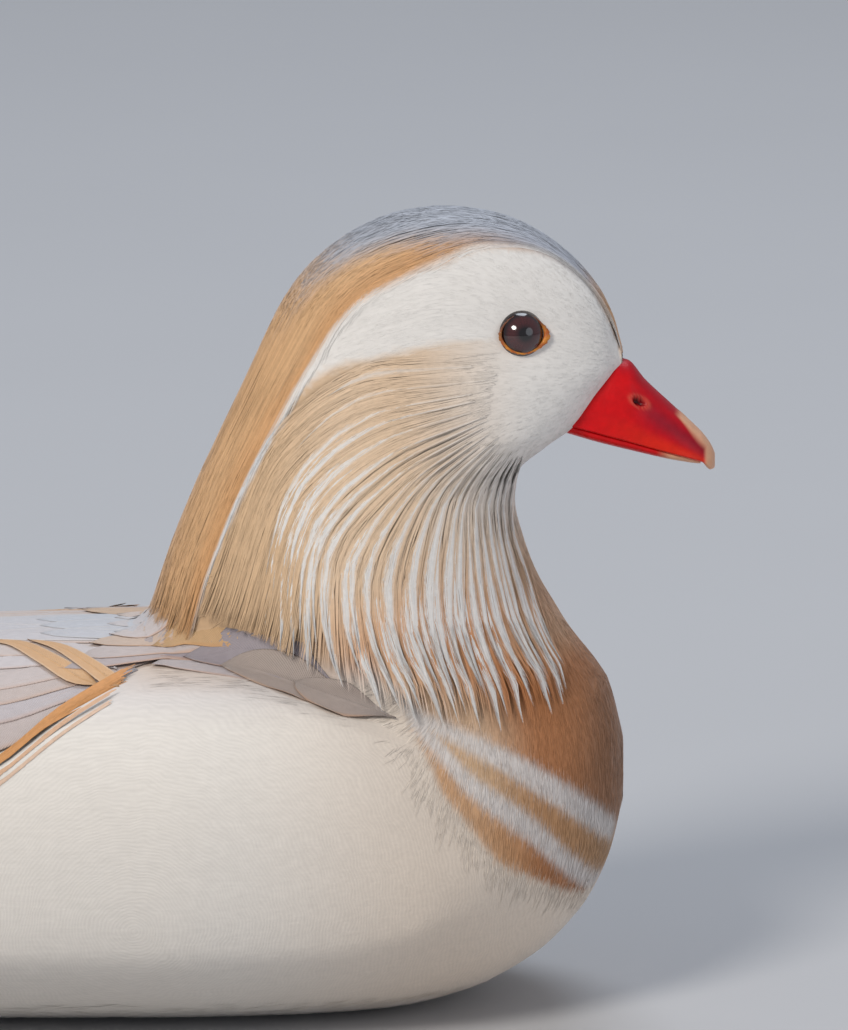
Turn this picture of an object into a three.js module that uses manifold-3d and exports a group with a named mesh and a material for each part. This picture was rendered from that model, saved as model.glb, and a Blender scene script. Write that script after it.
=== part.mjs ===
// A male mandarin duck of the pale apricot form, life size, sitting on its belly with its feet tucked under.
// Millimetres. +X is forward, +Y is the bird's left and +Z is up.
// The origin is on the floor under mid length.
import * as THREE from "three";
import { mergeVertices } from "three/addons/utils/BufferGeometryUtils.js";
import Module from "manifold-3d";

const wasm = await Module();
wasm.setup();

const GAP = 0.3; // between nodes that touch
const { lerp, clamp, smoothstep } = THREE.MathUtils;

// Body, from the tail root forward: [x, top, bottom, height of the widest point, half width].
// The belly is drawn below the floor and flattened on it, so that the bird rests on a small flat.
const BODY = [
  [-98, 57, 39, 49, 21],
  [-90, 60.5, 30, 48, 28],
  [-78, 65, 19, 46.5, 36.5],
  [-60, 70.5, 9, 45, 46.5],
  [-38, 75.5, 2.4, 43.5, 55.5],
  [-10, 79.5, -1.2, 43, 61.5],
  [22, 81.5, -2, 42.5, 64],
  [55, 82.3, -2, 42.5, 63.5],
  [82, 82.5, -1.8, 43, 60],
  [104, 82.2, -0.8, 43.5, 54.5],
  [122, 81.5, 3, 44.5, 47.5],
  [136, 79.5, 10, 45.5, 39],
  [146, 75.5, 19.5, 47, 30],
  [152, 69.5, 30, 49, 20.5],
  [155, 61, 40.5, 50.5, 10.5],
  [156, 52, 49, 50.5, 1.5],
];
const BODY_FULLNESS = 2.35; // 2 is an ellipse and more is boxier

// Outer surface of head, ruff and crest, from the shoulders up:
// [z, front, back, x of the widest point, half width].
const PLUME = [
  [70, 150, 49.5, 99, 37],
  [78, 146.2, 50.5, 98, 36],
  [86, 141.8, 52.2, 97, 34.8],
  [94, 137.2, 54.6, 97, 33.6],
  [102, 134.2, 57.4, 98, 32],
  [110, 132.4, 60.6, 100, 29.8],
  [117, 133.4, 63.6, 102, 27.6],
  [122.5, 139.5, 66.2, 104.5, 25.8],
  [127.5, 146.5, 68.5, 107, 24.2],
  [134, 151.5, 71.8, 110, 22.4],
  [141, 155, 74.9, 112, 20.6],
  [148, 154, 78, 113.5, 19],
  [155, 151.3, 81.6, 114.5, 17.8],
  [161.5, 146.8, 86.3, 115.3, 15.8],
  [167, 141, 92.4, 116, 13.2],
  [171, 134.8, 98.8, 116, 10.2],
  [173.6, 128, 105.2, 116, 6.9],
  [175, 120.5, 111.8, 116, 2.6],
];
const PLUME_FULLNESS = 2;
const COAT_DEPTH = 5.3; // of the long ruff and crest feathers, over the neck and the back of the head
const NECK_TOP = 114;

// Colours of the apricot form.
const WHITE = { color: 0xe9e4dc, roughness: 0.75 };
const CREAM = { color: 0xe4d6c2, roughness: 0.7 };
const APRICOT = { color: 0xd9a066, roughness: 0.75 };
const BREAST = { color: 0xb98a5e, roughness: 0.8 };
const RED = { color: 0xd0202a, roughness: 0.3 };
const ORANGE = { color: 0xe08a20, roughness: 0.5 };
const EYE = { color: 0x3a1a16, roughness: 0.08 };
const LEG = { color: 0xe0a040, roughness: 0.5 };

// A smooth function through [x, y] points whose x rises, which doesn't overshoot between them.
function through(points) {
  const last = points.length - 1;
  const rise = (i) => (points[i + 1][1] - points[i][1]) / (points[i + 1][0] - points[i][0]);
  const slopes = points.map((_, i) => {
    if (i === 0) return rise(0);
    if (i === last) return rise(last - 1);
    const [before, after] = [rise(i - 1), rise(i)];
    return before * after > 0 ? (2 * before * after) / (before + after) : 0;
  });
  return (x) => {
    let i = 0;
    while (i < last - 1 && x > points[i + 1][0]) i++;
    const [[x0, y0], [x1, y1]] = [points[i], points[i + 1]];
    const span = x1 - x0;
    const s = clamp((x - x0) / span, 0, 1);
    const [s2, s3] = [s * s, s * s * s];
    return (
      (2 * s3 - 3 * s2 + 1) * y0 +
      (s3 - 2 * s2 + s) * span * slopes[i] +
      (3 * s2 - 2 * s3) * y1 +
      (s3 - s2) * span * slopes[i + 1]
    );
  };
}

// A stack of rounded sections. Each has its place along the stack, its reach to both ends of a second axis,
// and its half width across. axes names the coordinates: along the stack, the second axis, and across.
class Loft {
  constructor(stations, fullness, axes) {
    this.columns = [1, 2, 3, 4].map((k) => through(stations.map((row) => [row[0], row[k]])));
    this.fullness = fullness;
    this.axes = axes;
    this.stations = stations;
    this.first = stations[0][0];
    this.last = stations[stations.length - 1][0];
  }
  // Places along the stack, spread as its stations are.
  places(count) {
    const at = through(this.stations.map((row, i) => [i, row[0]]));
    return steps(count).map((s) => at(s * (this.stations.length - 1)));
  }
  section(along) {
    const [high, low, middle, half] = this.columns.map((f) => f(clamp(along, this.first, this.last)));
    return { high, low, middle, half };
  }
  toPoint(along, second, across) {
    const [a, b, c] = this.axes;
    return new THREE.Vector3()
      .setComponent(a, along)
      .setComponent(b, second)
      .setComponent(c, across);
  }
  // A point at an angle round the section, 0 at its high end and pi at its low end, lifted off the surface.
  point(along, angle, side = 1, lift = 0) {
    const { high, low, middle, half } = this.section(along);
    const power = 2 / this.fullness;
    const [c, s] = [Math.cos(angle), Math.abs(Math.sin(angle))];
    const reach = c > 0 ? high - middle : middle - low;
    const second = Math.sign(c) * Math.abs(c) ** power;
    const across = s ** power;
    const normal = new THREE.Vector2(
      (Math.sign(c) * Math.abs(c) ** (2 - power)) / reach,
      s ** (2 - power) / half,
    ).normalize();
    return this.toPoint(
      along,
      middle + reach * second + lift * normal.x,
      side * (half * across + lift * normal.y),
    );
  }
  // The angle at which the section passes a place on its second axis.
  angle(along, second) {
    const { high, low, middle } = this.section(along);
    const reach = second > middle ? high - middle : middle - low;
    const share = clamp((second - middle) / reach, -1, 1);
    return Math.acos(Math.sign(share) * Math.abs(share) ** (this.fullness / 2));
  }
  // Half the width of the section at a place on its second axis.
  width(along, second) {
    return this.section(along).half * Math.sin(this.angle(along, second)) ** (2 / this.fullness);
  }
  // The angle, on the high half of the section, at which it is so far out from its middle plane.
  angleOut(along, across) {
    const { half } = this.section(along);
    return Math.asin(clamp(across / half, 0, 1) ** (this.fullness / 2));
  }
  // How far a point is from the middle of its section, where 1 is the surface.
  radius(point) {
    const [a, b, c] = this.axes;
    const { high, low, middle, half } = this.section(point.getComponent(a));
    const second = point.getComponent(b) - middle;
    const reach = second > 0 ? high - middle : middle - low;
    const across = point.getComponent(c) / half;
    const power = this.fullness;
    return (Math.abs(second / reach) ** power + Math.abs(across) ** power) ** (1 / power);
  }
  // About how far a point lies outside the surface.
  distance(point) {
    return (this.radius(point) - 1) / gradient((p) => this.radius(p), point).length();
  }
}
function gradient(field, point, step = 0.05) {
  const slope = [0, 1, 2].map((k) => {
    const ahead = point.clone();
    const behind = point.clone();
    ahead.setComponent(k, point.getComponent(k) + step);
    behind.setComponent(k, point.getComponent(k) - step);
    return (field(ahead) - field(behind)) / (2 * step);
  });
  return new THREE.Vector3(...slope);
}
const [X, Y, Z] = [0, 1, 2];
const steps = (n) => Array.from({ length: n }, (_, i) => i / Math.max(n - 1, 1));
const onFloor = (z) => Math.max(z, 0);
const body = new Loft(BODY, BODY_FULLNESS, [X, Z, Y]);
const plume = new Loft(PLUME, PLUME_FULLNESS, [Z, X, Y]);

// The core under the long feathers: the head and neck, inside their coat, flow into the body.
const BLEND = 7;
function coreDistance(point) {
  const neck = plume.distance(point) + COAT_DEPTH;
  const trunk = body.distance(point);
  const h = clamp(0.5 + (trunk - neck) / (2 * BLEND), 0, 1);
  return lerp(trunk, neck, h) - BLEND * h * (1 - h);
}
// Moves a point straight to where it lies at a given height over a surface, and gives the normal there.
const SETTLING = { rounds: 7, stride: 6 };
function settled(point, lift, distance = coreDistance) {
  const place = point.clone();
  const normal = new THREE.Vector3();
  const { rounds, stride } = SETTLING;
  for (let i = 0; i < rounds; i++) {
    normal.copy(gradient(distance, place)).normalize();
    place.addScaledVector(normal, clamp(lift - distance(place), -stride, stride));
  }
  return { point: place, normal };
}

// Closed meshes.
function closedMesh(vertices, faces) {
  const geometry = new THREE.BufferGeometry();
  geometry.setAttribute(
    "position",
    new THREE.Float32BufferAttribute(vertices.flatMap((v) => [v.x, v.y, v.z]), 3),
  );
  geometry.setIndex(faces.flat());
  return geometry;
}

// A skin over rings of points, closed round each ring and capped at both ends. A ring of one point is a tip.
function skinned(rings) {
  const vertices = rings.flat();
  const faces = [];
  const starts = [];
  rings.reduce((sum, ring) => (starts.push(sum), sum + ring.length), 0);
  for (let i = 0; i + 1 < rings.length; i++) {
    const [a, b] = [starts[i], starts[i + 1]];
    const [n, m] = [rings[i].length, rings[i + 1].length];
    for (let j = 0; j < Math.max(n, m); j++) {
      const k = (j + 1) % Math.max(n, m);
      if (m === 1) faces.push([a + j, a + k, b]);
      else if (n === 1) faces.push([a, b + k, b + j]);
      else faces.push([a + j, a + k, b + k], [a + j, b + k, b + j]);
    }
  }
  for (const [ring, start, turned] of [
    [rings[0], starts[0], true],
    [rings[rings.length - 1], starts[rings.length - 1], false],
  ])
    for (let j = 1; j + 1 < ring.length; j++)
      faces.push(turned ? [start, start + j + 1, start + j] : [start, start + j, start + j + 1]);
  return closedMesh(vertices, faces);
}

// A plate between an inner and an outer face, each a grid of points with the same rows and columns.
function plate(outer, inner) {
  const rings = outer.map((row, i) => [...row, ...inner[i].slice().reverse()]);
  const columns = outer[0].length;
  const geometry = skinned(rings);
  const faces = Array.from(geometry.index.array);
  const kept = faces.slice(0, (rings.length - 1) * columns * 2 * 6);
  // The end caps are strips from face to face, because a fan would cross a curved end.
  for (const [row, turned] of [
    [0, true],
    [rings.length - 1, false],
  ]) {
    const start = row * columns * 2;
    for (let j = 0; j + 1 < columns; j++) {
      const [a, b] = [start + j, start + j + 1];
      const [c, d] = [start + 2 * columns - 2 - j, start + 2 * columns - 1 - j];
      if (turned) kept.push(a, c, b, a, d, c);
      else kept.push(a, b, c, a, c, d);
    }
  }
  geometry.setIndex(kept);
  return geometry;
}

// The same mesh with its vertices joined and its faces turned outward.
function welded(geometry) {
  const bare = geometry.clone();
  bare.deleteAttribute("normal");
  bare.deleteAttribute("uv");
  const merged = mergeVertices(bare, 1e-4);
  const place = merged.attributes.position;
  const faces = merged.index.array;
  const corner = (i) => new THREE.Vector3().fromBufferAttribute(place, faces[i]);
  let volume = 0;
  for (let i = 0; i < faces.length; i += 3) volume += corner(i).dot(corner(i + 1).cross(corner(i + 2)));
  if (volume < 0)
    for (let i = 0; i < faces.length; i += 3) [faces[i + 1], faces[i + 2]] = [faces[i + 2], faces[i + 1]];
  return merged;
}
function solid(geometry) {
  const merged = welded(geometry);
  return new wasm.Manifold(
    new wasm.Mesh({
      numProp: 3,
      vertProperties: new Float32Array(merged.attributes.position.array),
      triVerts: new Uint32Array(merged.index.array),
    }),
  );
}
// Pieces with every face moved out by the gap, and joined: what they are cut from keeps clear of them.
function swelled(pieces) {
  return pieces
    .map((piece) => {
      const merged = welded(piece);
      const place = merged.attributes.position;
      const faces = merged.index.array;
      const around = Array.from({ length: place.count }, () => []);
      const corner = (i) => new THREE.Vector3().fromBufferAttribute(place, i);
      for (let i = 0; i < faces.length; i += 3) {
        const ids = [faces[i], faces[i + 1], faces[i + 2]];
        const [a, b, c] = ids.map(corner);
        const normal = b.sub(a).cross(c.sub(a)).normalize();
        for (const id of ids) around[id].push(normal);
      }
      around.forEach((normals, i) => {
        const out = normals.reduce((sum, n) => sum.add(n), new THREE.Vector3()).normalize();
        const share = Math.max(Math.min(...normals.map((n) => n.dot(out))), 0.35);
        place.setXYZ(i, ...corner(i).addScaledVector(out, GAP / share));
      });
      return solid(merged);
    })
    .reduce((sum, next) => sum.add(next));
}

// One closed body from pieces that overlap, with cutters taken away.
function fused(pieces, cutters = []) {
  let made = pieces.map(solid).reduce((sum, next) => sum.add(next));
  for (const cutter of cutters) made = made.subtract(cutter);
  const bodies = made.decompose();
  return bodies.reduce((best, next) => (next.volume() > best.volume() ? next : best));
}

// Joining and cutting leave very short edges. Each is drawn together where the mesh stays closed and flat.
const SHORT_EDGE = 0.12;
function withoutShortEdges(corners, faces) {
  const around = corners.map(() => new Set());
  faces.forEach((face, f) => face.forEach((v) => around[v].add(f)));
  const beside = (v) => new Set([...around[v]].flatMap((f) => faces[f]).filter((w) => w !== v));
  const normal = ([i, j, k]) =>
    corners[j].clone().sub(corners[i]).cross(corners[k].clone().sub(corners[i]));
  const draw = (keep, drop) => {
    const besideDrop = beside(drop);
    if ([...beside(keep)].filter((v) => besideDrop.has(v)).length !== 2) return false;
    const moved = [...around[drop]].filter((f) => !faces[f].includes(keep));
    const turned = moved.map((f) => faces[f].map((v) => (v === drop ? keep : v)));
    const unfolded = turned.every((face, i) => {
      const [before, after] = [normal(faces[moved[i]]), normal(face)];
      return after.length() > 1e-3 && before.dot(after) > 0.6 * before.length() * after.length();
    });
    if (!unfolded) return false;
    for (const f of around[drop]) {
      if (!faces[f].includes(keep)) continue;
      for (const v of faces[f]) if (v !== drop) around[v].delete(f);
      faces[f] = null;
    }
    moved.forEach((f, i) => {
      faces[f] = turned[i];
      around[keep].add(f);
    });
    around[drop].clear();
    return true;
  };
  let found = true;
  while (found) {
    found = false;
    for (let f = 0; f < faces.length; f++)
      for (let k = 0; k < 3 && faces[f]; k++) {
        const [i, j] = [faces[f][k], faces[f][(k + 1) % 3]];
        if (corners[i].distanceTo(corners[j]) < SHORT_EDGE && (draw(i, j) || draw(j, i))) found = true;
      }
  }
  return faces.filter((face) => face);
}

const bird = new THREE.Group();
function addNode(name, made, look) {
  const { numProp, numVert, vertProperties, triVerts } = made.getMesh();
  const corners = Array.from({ length: numVert }, (_, i) =>
    new THREE.Vector3().fromArray(vertProperties, i * numProp),
  );
  const triangles = Array.from({ length: triVerts.length / 3 }, (_, i) => [
    ...triVerts.subarray(i * 3, i * 3 + 3),
  ]);
  const geometry = closedMesh(corners, withoutShortEdges(corners, triangles));
  const mesh = new THREE.Mesh(geometry, new THREE.MeshStandardMaterial({ metalness: 0, ...look }));
  mesh.name = name;
  bird.add(mesh);
}

// The same random numbers at each run, from -1 to 1.
function dice(seed) {
  let state = seed;
  return () => {
    state = (state * 1664525 + 1013904223) % 4294967296;
    return (state / 4294967296) * 2 - 1;
  };
}

const bezier = (a, b, c, s) => (1 - s) ** 2 * a + 2 * s * (1 - s) * b + s * s * c;

// A lock: a flat strand with a raised middle that tapers to a point. at(s) gives its middle line and normal.
function lock(at, halfWidth, thickness, count = 4) {
  const rings = steps(count + 1).map((s) => {
    const { point, normal } = at(s);
    if (s === 1) return [point];
    const across = acrossLine(at, s);
    const half = halfWidth * lerp(0.6, 1, smoothstep(s, 0, 0.3)) * (1 - s ** 2.4) ** 0.8;
    const high = thickness * (1 - 0.5 * s);
    const corner = (u, v) =>
      point.clone().addScaledVector(across, u * half).addScaledVector(normal, v * high);
    return [corner(-1, -0.4), corner(1, -0.4), corner(0, 0.6)];
  });
  return skinned(rings);
}
function acrossLine(at, s) {
  const [ahead, behind] = [at(Math.min(s + 0.05, 1)), at(Math.max(s - 0.05, 0))];
  return ahead.point.sub(behind.point).cross(at(s).normal).normalize();
}

// A vane: a flat feather of even thickness that narrows towards its tip.
const VANE_PLACES = [0, 0.45, 0.84, 1];
const VANE_WIDTHS = [0.6, 1, 0.86, 0.28]; // of its half width, at those places
function vane(at, halfWidth, thickness) {
  const rings = VANE_PLACES.map((s, i) => {
    const { point, normal } = at(s);
    const across = acrossLine(at, s);
    const half = halfWidth * VANE_WIDTHS[i];
    const corner = (u, v) =>
      point.clone().addScaledVector(across, u * half).addScaledVector(normal, (v * thickness) / 2);
    return [corner(-1, -1), corner(1, -1), corner(1, 1), corner(-1, 1)];
  });
  return skinned(rings);
}

// A round tube through points, with a radius at each, kept above the floor.
function tube(points, radii, sides = 5) {
  const curve = new THREE.CatmullRomCurve3(points);
  const radiusAt = through(radii.map((r, i) => [i / (radii.length - 1), r]));
  const up = new THREE.Vector3(0, 0, 1);
  const rings = steps(points.length).map((s) => {
    const [centre, ahead] = [curve.getPoint(s), curve.getTangent(s)];
    const across = new THREE.Vector3().crossVectors(ahead, up).normalize();
    const over = new THREE.Vector3().crossVectors(across, ahead);
    return Array.from({ length: sides }, (_, k) => {
      const angle = ((k + 0.5) / sides) * 2 * Math.PI;
      const p = centre
        .clone()
        .addScaledVector(across, Math.cos(angle) * radiusAt(s))
        .addScaledVector(over, Math.sin(angle) * radiusAt(s));
      p.z = onFloor(p.z);
      return p;
    });
  });
  return skinned(rings);
}

function placed(geometry, position, quaternion, scale) {
  return geometry
    .clone()
    .applyMatrix4(new THREE.Matrix4().compose(position, quaternion, scale ?? new THREE.Vector3(1, 1, 1)));
}

// Rings of a loft at given places, all the way round, by the angles and zones that anglesAt gives for each.
function loftSolid(loft, places, anglesAt, liftAt, finish = (p) => p) {
  return skinned(
    places.map((along) => {
      const angles = anglesAt(along);
      const side = (sign, list) =>
        list.map(([angle, zone]) => finish(loft.point(along, angle, sign, liftAt(along, zone))));
      return [...side(1, angles), ...side(-1, angles.slice(1, -1).reverse())];
    }),
  );
}

// Torso
const BODY_COLUMNS = 15;
const halfTurn = (count) => steps(count).map((s) => [s * Math.PI, 0]);
function torsoShape(grow = 0) {
  const places = body.places(18);
  places[0] -= grow;
  return loftSolid(
    body,
    places,
    () => halfTurn(BODY_COLUMNS),
    () => grow,
    (p) => p.setZ(onFloor(p.z)),
  );
}
const torsoGrown = solid(torsoShape(GAP));

// Head and neck. The ruff lies between the cheek's edge and the crest's edge, and the crest behind that.
const cheekEdge = through([
  [70, 148],
  [86, 139.6],
  [94, 135],
  [102, 132],
  [110, 130.2],
  [115, 130.4],
  [119, 133],
  [126, 135],
  [133, 134],
  [140, 129],
  [147, 121],
  [152, 118],
  [175, 118],
]);
const crestEdge = through([
  [70, 80],
  [86, 80],
  [95, 81.5],
  [105, 83.5],
  [115, 86],
  [125, 90],
  [135, 95],
  [144, 101],
  [152, 104],
  [160, 105.5],
  [171.5, 107],
  [175, 114],
]);
// Behind the ruff a band of short feathers runs back from the eye, between this line and the crest's edge.
const ruffEdge = through([
  [70, 80.4],
  [86, 80.4],
  [95, 82],
  [105, 84.5],
  [115, 88],
  [122, 93],
  [128, 97.5],
  [135, 103.5],
  [140, 108.5],
  [146, 116],
  [152, 117],
  [175, 117],
]);
const BAND_FOOT = 119;
const RUFF_TOP = 149.5;
const CREST_TOP = 170.8;
const STEP_ANGLE = 0.05;
const [FACE, RUFF, BAND, CREST] = [0, 1, 2, 3];
function plumeAngles(z, grow = 0) {
  const shift = grow / 20;
  const ruffFrom = Math.max(plume.angle(z, cheekEdge(z)), 0.04) + shift;
  const ruffTo = Math.max(plume.angle(z, ruffEdge(z)) - shift, ruffFrom + 2 * STEP_ANGLE);
  const crestFrom = Math.max(plume.angle(z, crestEdge(z)) + shift, ruffTo + 2 * STEP_ANGLE);
  const zone = (from, to, count, kind) => steps(count).map((s) => [lerp(from, to, s), kind]);
  return [
    ...zone(0, ruffFrom, 5, FACE),
    ...zone(ruffFrom + STEP_ANGLE, ruffTo, 3, RUFF),
    ...zone(ruffTo + STEP_ANGLE, crestFrom, 2, BAND),
    ...zone(crestFrom + STEP_ANGLE, Math.PI, 3, CREST),
  ];
}
function plumeLift(z, zone, grow) {
  const under =
    (zone === RUFF && z < RUFF_TOP) ||
    (zone === BAND && z < BAND_FOOT) ||
    (zone === CREST && z < CREST_TOP);
  return grow - (under ? COAT_DEPTH : 0);
}
const NECK_PLACES = [74, 81, 88, 96, 105];
const HEAD_PLACES = [
  118, 122, 128, 135, 142, 149.2, 149.9, 156, 162, 167, 170.6, 171.2, 173.4, 174.9,
];
function plumeSolid(places, grow) {
  return loftSolid(
    plume,
    places,
    (z) => plumeAngles(z, grow),
    (z, zone) => plumeLift(z, zone, grow),
  );
}
const neckShape = (grow = 0) => plumeSolid([...NECK_PLACES, NECK_TOP - GAP / 2 + grow], grow);
const headShape = (grow = 0) => plumeSolid([NECK_TOP + GAP / 2 - grow, ...HEAD_PLACES], grow);
const headGrown = solid(headShape(GAP));
const neckGrown = solid(neckShape(GAP));

// Eye, set in the head at eye level with a fleshy ring round it.
const EYE_PLACE = { x: 133.3, z: 150.2 };
const EYE_RADIUS = 5.6;
const EYE_DEPTH = 3.7; // from the head's surface in to the centre of the eyeball
const LID = { length: 5.15, height: 4.4, radius: 0.85 };
function eyeFrame(side) {
  const angle = plume.angle(EYE_PLACE.z, EYE_PLACE.x);
  const surface = plume.point(EYE_PLACE.z, angle, side);
  const outward = gradient((p) => plume.radius(p), surface).normalize();
  const up = new THREE.Vector3(0, 0, 1).addScaledVector(outward, -outward.z).normalize();
  const along = new THREE.Vector3().crossVectors(up, outward);
  const turn = new THREE.Quaternion().setFromRotationMatrix(
    new THREE.Matrix4().makeBasis(along, up, outward),
  );
  return { surface, turn, centre: surface.clone().addScaledVector(outward, -EYE_DEPTH) };
}
function eyeball(side, grow = 0) {
  const { centre, turn } = eyeFrame(side);
  return placed(new THREE.SphereGeometry(EYE_RADIUS + grow, 12, 7), centre, turn);
}
function lidRing(side, grow = 0) {
  const { surface, turn } = eyeFrame(side);
  const ring = new THREE.TorusGeometry(1, 0.2, 4, 12);
  const place = ring.attributes.position;
  for (let i = 0; i < place.count; i++) {
    const flat = new THREE.Vector2(place.getX(i), place.getY(i));
    const round = flat.clone().normalize();
    const radius = (LID.radius + grow) * 5;
    const out = (flat.length() - 1) * radius;
    // The ring reaches further forward, where the bare skin ends in a corner.
    const corner = 1 + 0.1 * Math.max(0, round.x * (side < 0 ? 1 : -1)) ** 6;
    place.setXYZ(
      i,
      round.x * (LID.length * corner + out),
      round.y * (LID.height + out),
      place.getZ(i) * radius - 0.15,
    );
  }
  return placed(ring, surface, turn);
}

// Bill. The upper half is arched, with a flat underside, and ends in a nail that hooks down.
// Rows as for the body.
const BILL_UPPER = [
  [142, 140.5, 128.2, 130.5, 7.2],
  [148, 141.6, 126.7, 129, 8],
  [152.4, 142, 125.5, 127.6, 8.1],
  [156.1, 141.3, 124.5, 126.4, 8],
  [160, 136.9, 123.3, 125, 7.7],
  [165.9, 131.3, 121.5, 122.9, 7.2],
  [169.8, 127.5, 120.3, 121.6, 6.3],
  [172.4, 124.9, 119.2, 120.4, 5],
  [174.2, 122.4, 117.4, 119, 3.3],
  [175, 120.6, 117.6, 118.6, 1.2],
];
const BILL_LOWER = [
  [143, 128, 125.4, 126.8, 5.4],
  [150, 126.2, 123.4, 125, 6.3],
  [158, 124.1, 121.4, 123.1, 6.2],
  [165, 122, 119.8, 121.1, 5.6],
  [169.5, 120.6, 118.9, 119.9, 4.4],
  [172, 119.4, 118.5, 118.9, 2],
];
const BILL_FULLNESS = 2.15;
const NOSTRIL = { x: 158.7, z: 133.2, length: 2, height: 0.95, depth: 1.3, slope: 0.75 };
const billUpper = new Loft(BILL_UPPER, BILL_FULLNESS, [X, Z, Y]);
const billLower = new Loft(BILL_LOWER, BILL_FULLNESS, [X, Z, Y]);
const billShape = (loft, rows, grow = 0) =>
  loftSolid(loft, loft.places(rows), () => halfTurn(7), () => grow);
function nostril(side) {
  const angle = billUpper.angle(NOSTRIL.x, NOSTRIL.z);
  const turn = new THREE.Quaternion().setFromAxisAngle(new THREE.Vector3(0, 1, 0), NOSTRIL.slope);
  const size = new THREE.Vector3(NOSTRIL.length, NOSTRIL.depth, NOSTRIL.height);
  return placed(new THREE.SphereGeometry(1, 8, 5), billUpper.point(NOSTRIL.x, angle, side), turn, size);
}
const upperGrown = solid(billShape(billUpper, 10, GAP));

// Ruff, from the cheek back and down over the side of the neck to tips that hang over breast and shoulder.
// Each line is seen from the side: [root x, root z, bend x, bend z, tip x, tip z, how far out the tip lies].
const RUFF_LINES = [
  [135, 127.5, 130.5, 109, 142.4, 76, 30],
  [131, 131, 125.6, 104, 134.6, 70.4, 42],
  [126, 134.5, 114, 100, 119.4, 67.6, 50],
  [121.5, 139.5, 101, 108, 99.5, 70.5, 50],
  [117.5, 145.5, 89, 127, 77.6, 89, 36],
];
const ruffLine = [0, 1, 2, 3, 4, 5, 6].map((k) => through(RUFF_LINES.map((row, i) => [i / 4, row[k]])));
function ruffPlace(t, s, side, lift) {
  const [rootX, rootZ, bendX, bendZ, tipX, tipZ, out] = ruffLine.map((f) => f(t));
  const x = bezier(rootX, bendX, tipX, s);
  const z = bezier(rootZ, bendZ, tipZ, s);
  const guess = Math.max(plume.width(z, x), 6);
  return settled(new THREE.Vector3(x, side * lerp(guess, out, Math.abs(s) ** 1.5), z), lift);
}
// How high a lock lies at a place along it, which rises early from its root and then runs level to its tip.
function liftAlong([root, middle, tip], s) {
  return lerp(root, lerp(middle, tip, s), smoothstep(s, 0, 0.28));
}
const RUFF_CORE = { depth: 2.6, reach: 0.84 };
function ruffPad(side) {
  const grid = (liftAt) =>
    steps(6).map((u) => steps(6).map((t) => ruffPlace(t, u * RUFF_CORE.reach, side, liftAt(u)).point));
  return plate(
    grid((u) => RUFF_CORE.depth * (1 - 0.7 * u ** 5)),
    grid(() => -1.5),
  );
}
// Tiers of locks: how many, where along the lines they start and end, half width and thickness.
const RUFF_TIERS = [
  [3, 0, 0.52, 4.6, 2.4],
  [4, 0.22, 0.78, 6, 2.5],
  [6, 0.46, 1.03, 6.6, 2.6],
];
const RUFF_LIFT = [1.1, 3.9, 3.7]; // over the core at root, middle and tip
function ruffLocks(side) {
  const roll = dice(side < 0 ? 11 : 12);
  return RUFF_TIERS.flatMap(([count, from, to, halfWidth, thickness]) =>
    steps(count).map((t) => {
      const start = from + 0.03 * roll();
      const end = to + 0.035 * roll();
      const lean = 0.03 * roll();
      const line = lerp(0.03, 0.97, t);
      const at = (s) =>
        ruffPlace(
          clamp(line + lean * s, 0, 1),
          lerp(start, end, s),
          side,
          liftAlong(RUFF_LIFT, s),
        );
      return lock(at, halfWidth, thickness, to > 1 ? 4 : 3);
    }),
  );
}

// Crest, over the back of the head and neck from the crown to a hem above the shoulders.
const CREST_HEM = 87;
const CREST_CORE = { depth: 2.6, hem: 93 };
// A place on the crest: t runs from -1 at its right edge to 1 at its left.
function crestPlace(t, z, lift) {
  const edge = plume.angle(z, crestEdge(z)) + STEP_ANGLE + GAP / 20;
  return plume.point(z, Math.PI - Math.abs(t) * (Math.PI - edge), t < 0 ? -1 : 1, lift);
}
function crestPad() {
  const zs = steps(8).map((s) => lerp(CREST_TOP - 0.2, CREST_CORE.hem, s));
  const grid = (lift) => zs.map((z) => steps(7).map((s) => crestPlace(s * 2 - 1, z, lift)));
  return plate(grid(CREST_CORE.depth - COAT_DEPTH), grid(-COAT_DEPTH - 1.5));
}
// Tiers of locks: how many, the heights they start and end at, half width and thickness.
const CREST_TIERS = [
  [3, 170.6, 138, 7, 2.4],
  [4, 158, 116, 8.2, 2.5],
  [5, 137, 99, 8.2, 2.6],
  [6, 116, CREST_HEM + 1.5, 7.6, 2.6],
];
const CREST_LIFT = [-4, -1.5, -1.3]; // over the outer surface at root, middle and tip
function crestLocks() {
  const roll = dice(5);
  return CREST_TIERS.flatMap(([count, from, to, halfWidth, thickness]) =>
    steps(count).map((share) => {
      const start = from - 2 * Math.abs(roll());
      const end = to + 2.5 * roll();
      const t = lerp(-0.94, 0.94, share) + 0.02 * roll();
      const at = (s) => {
        const z = lerp(start, end, s);
        const place = (lift) => crestPlace(t, z, lift);
        const point = place(liftAlong(CREST_LIFT, s));
        return { point, normal: place(1).sub(place(0)).normalize() };
      };
      return lock(at, halfWidth, thickness, 3);
    }),
  );
}

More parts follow.
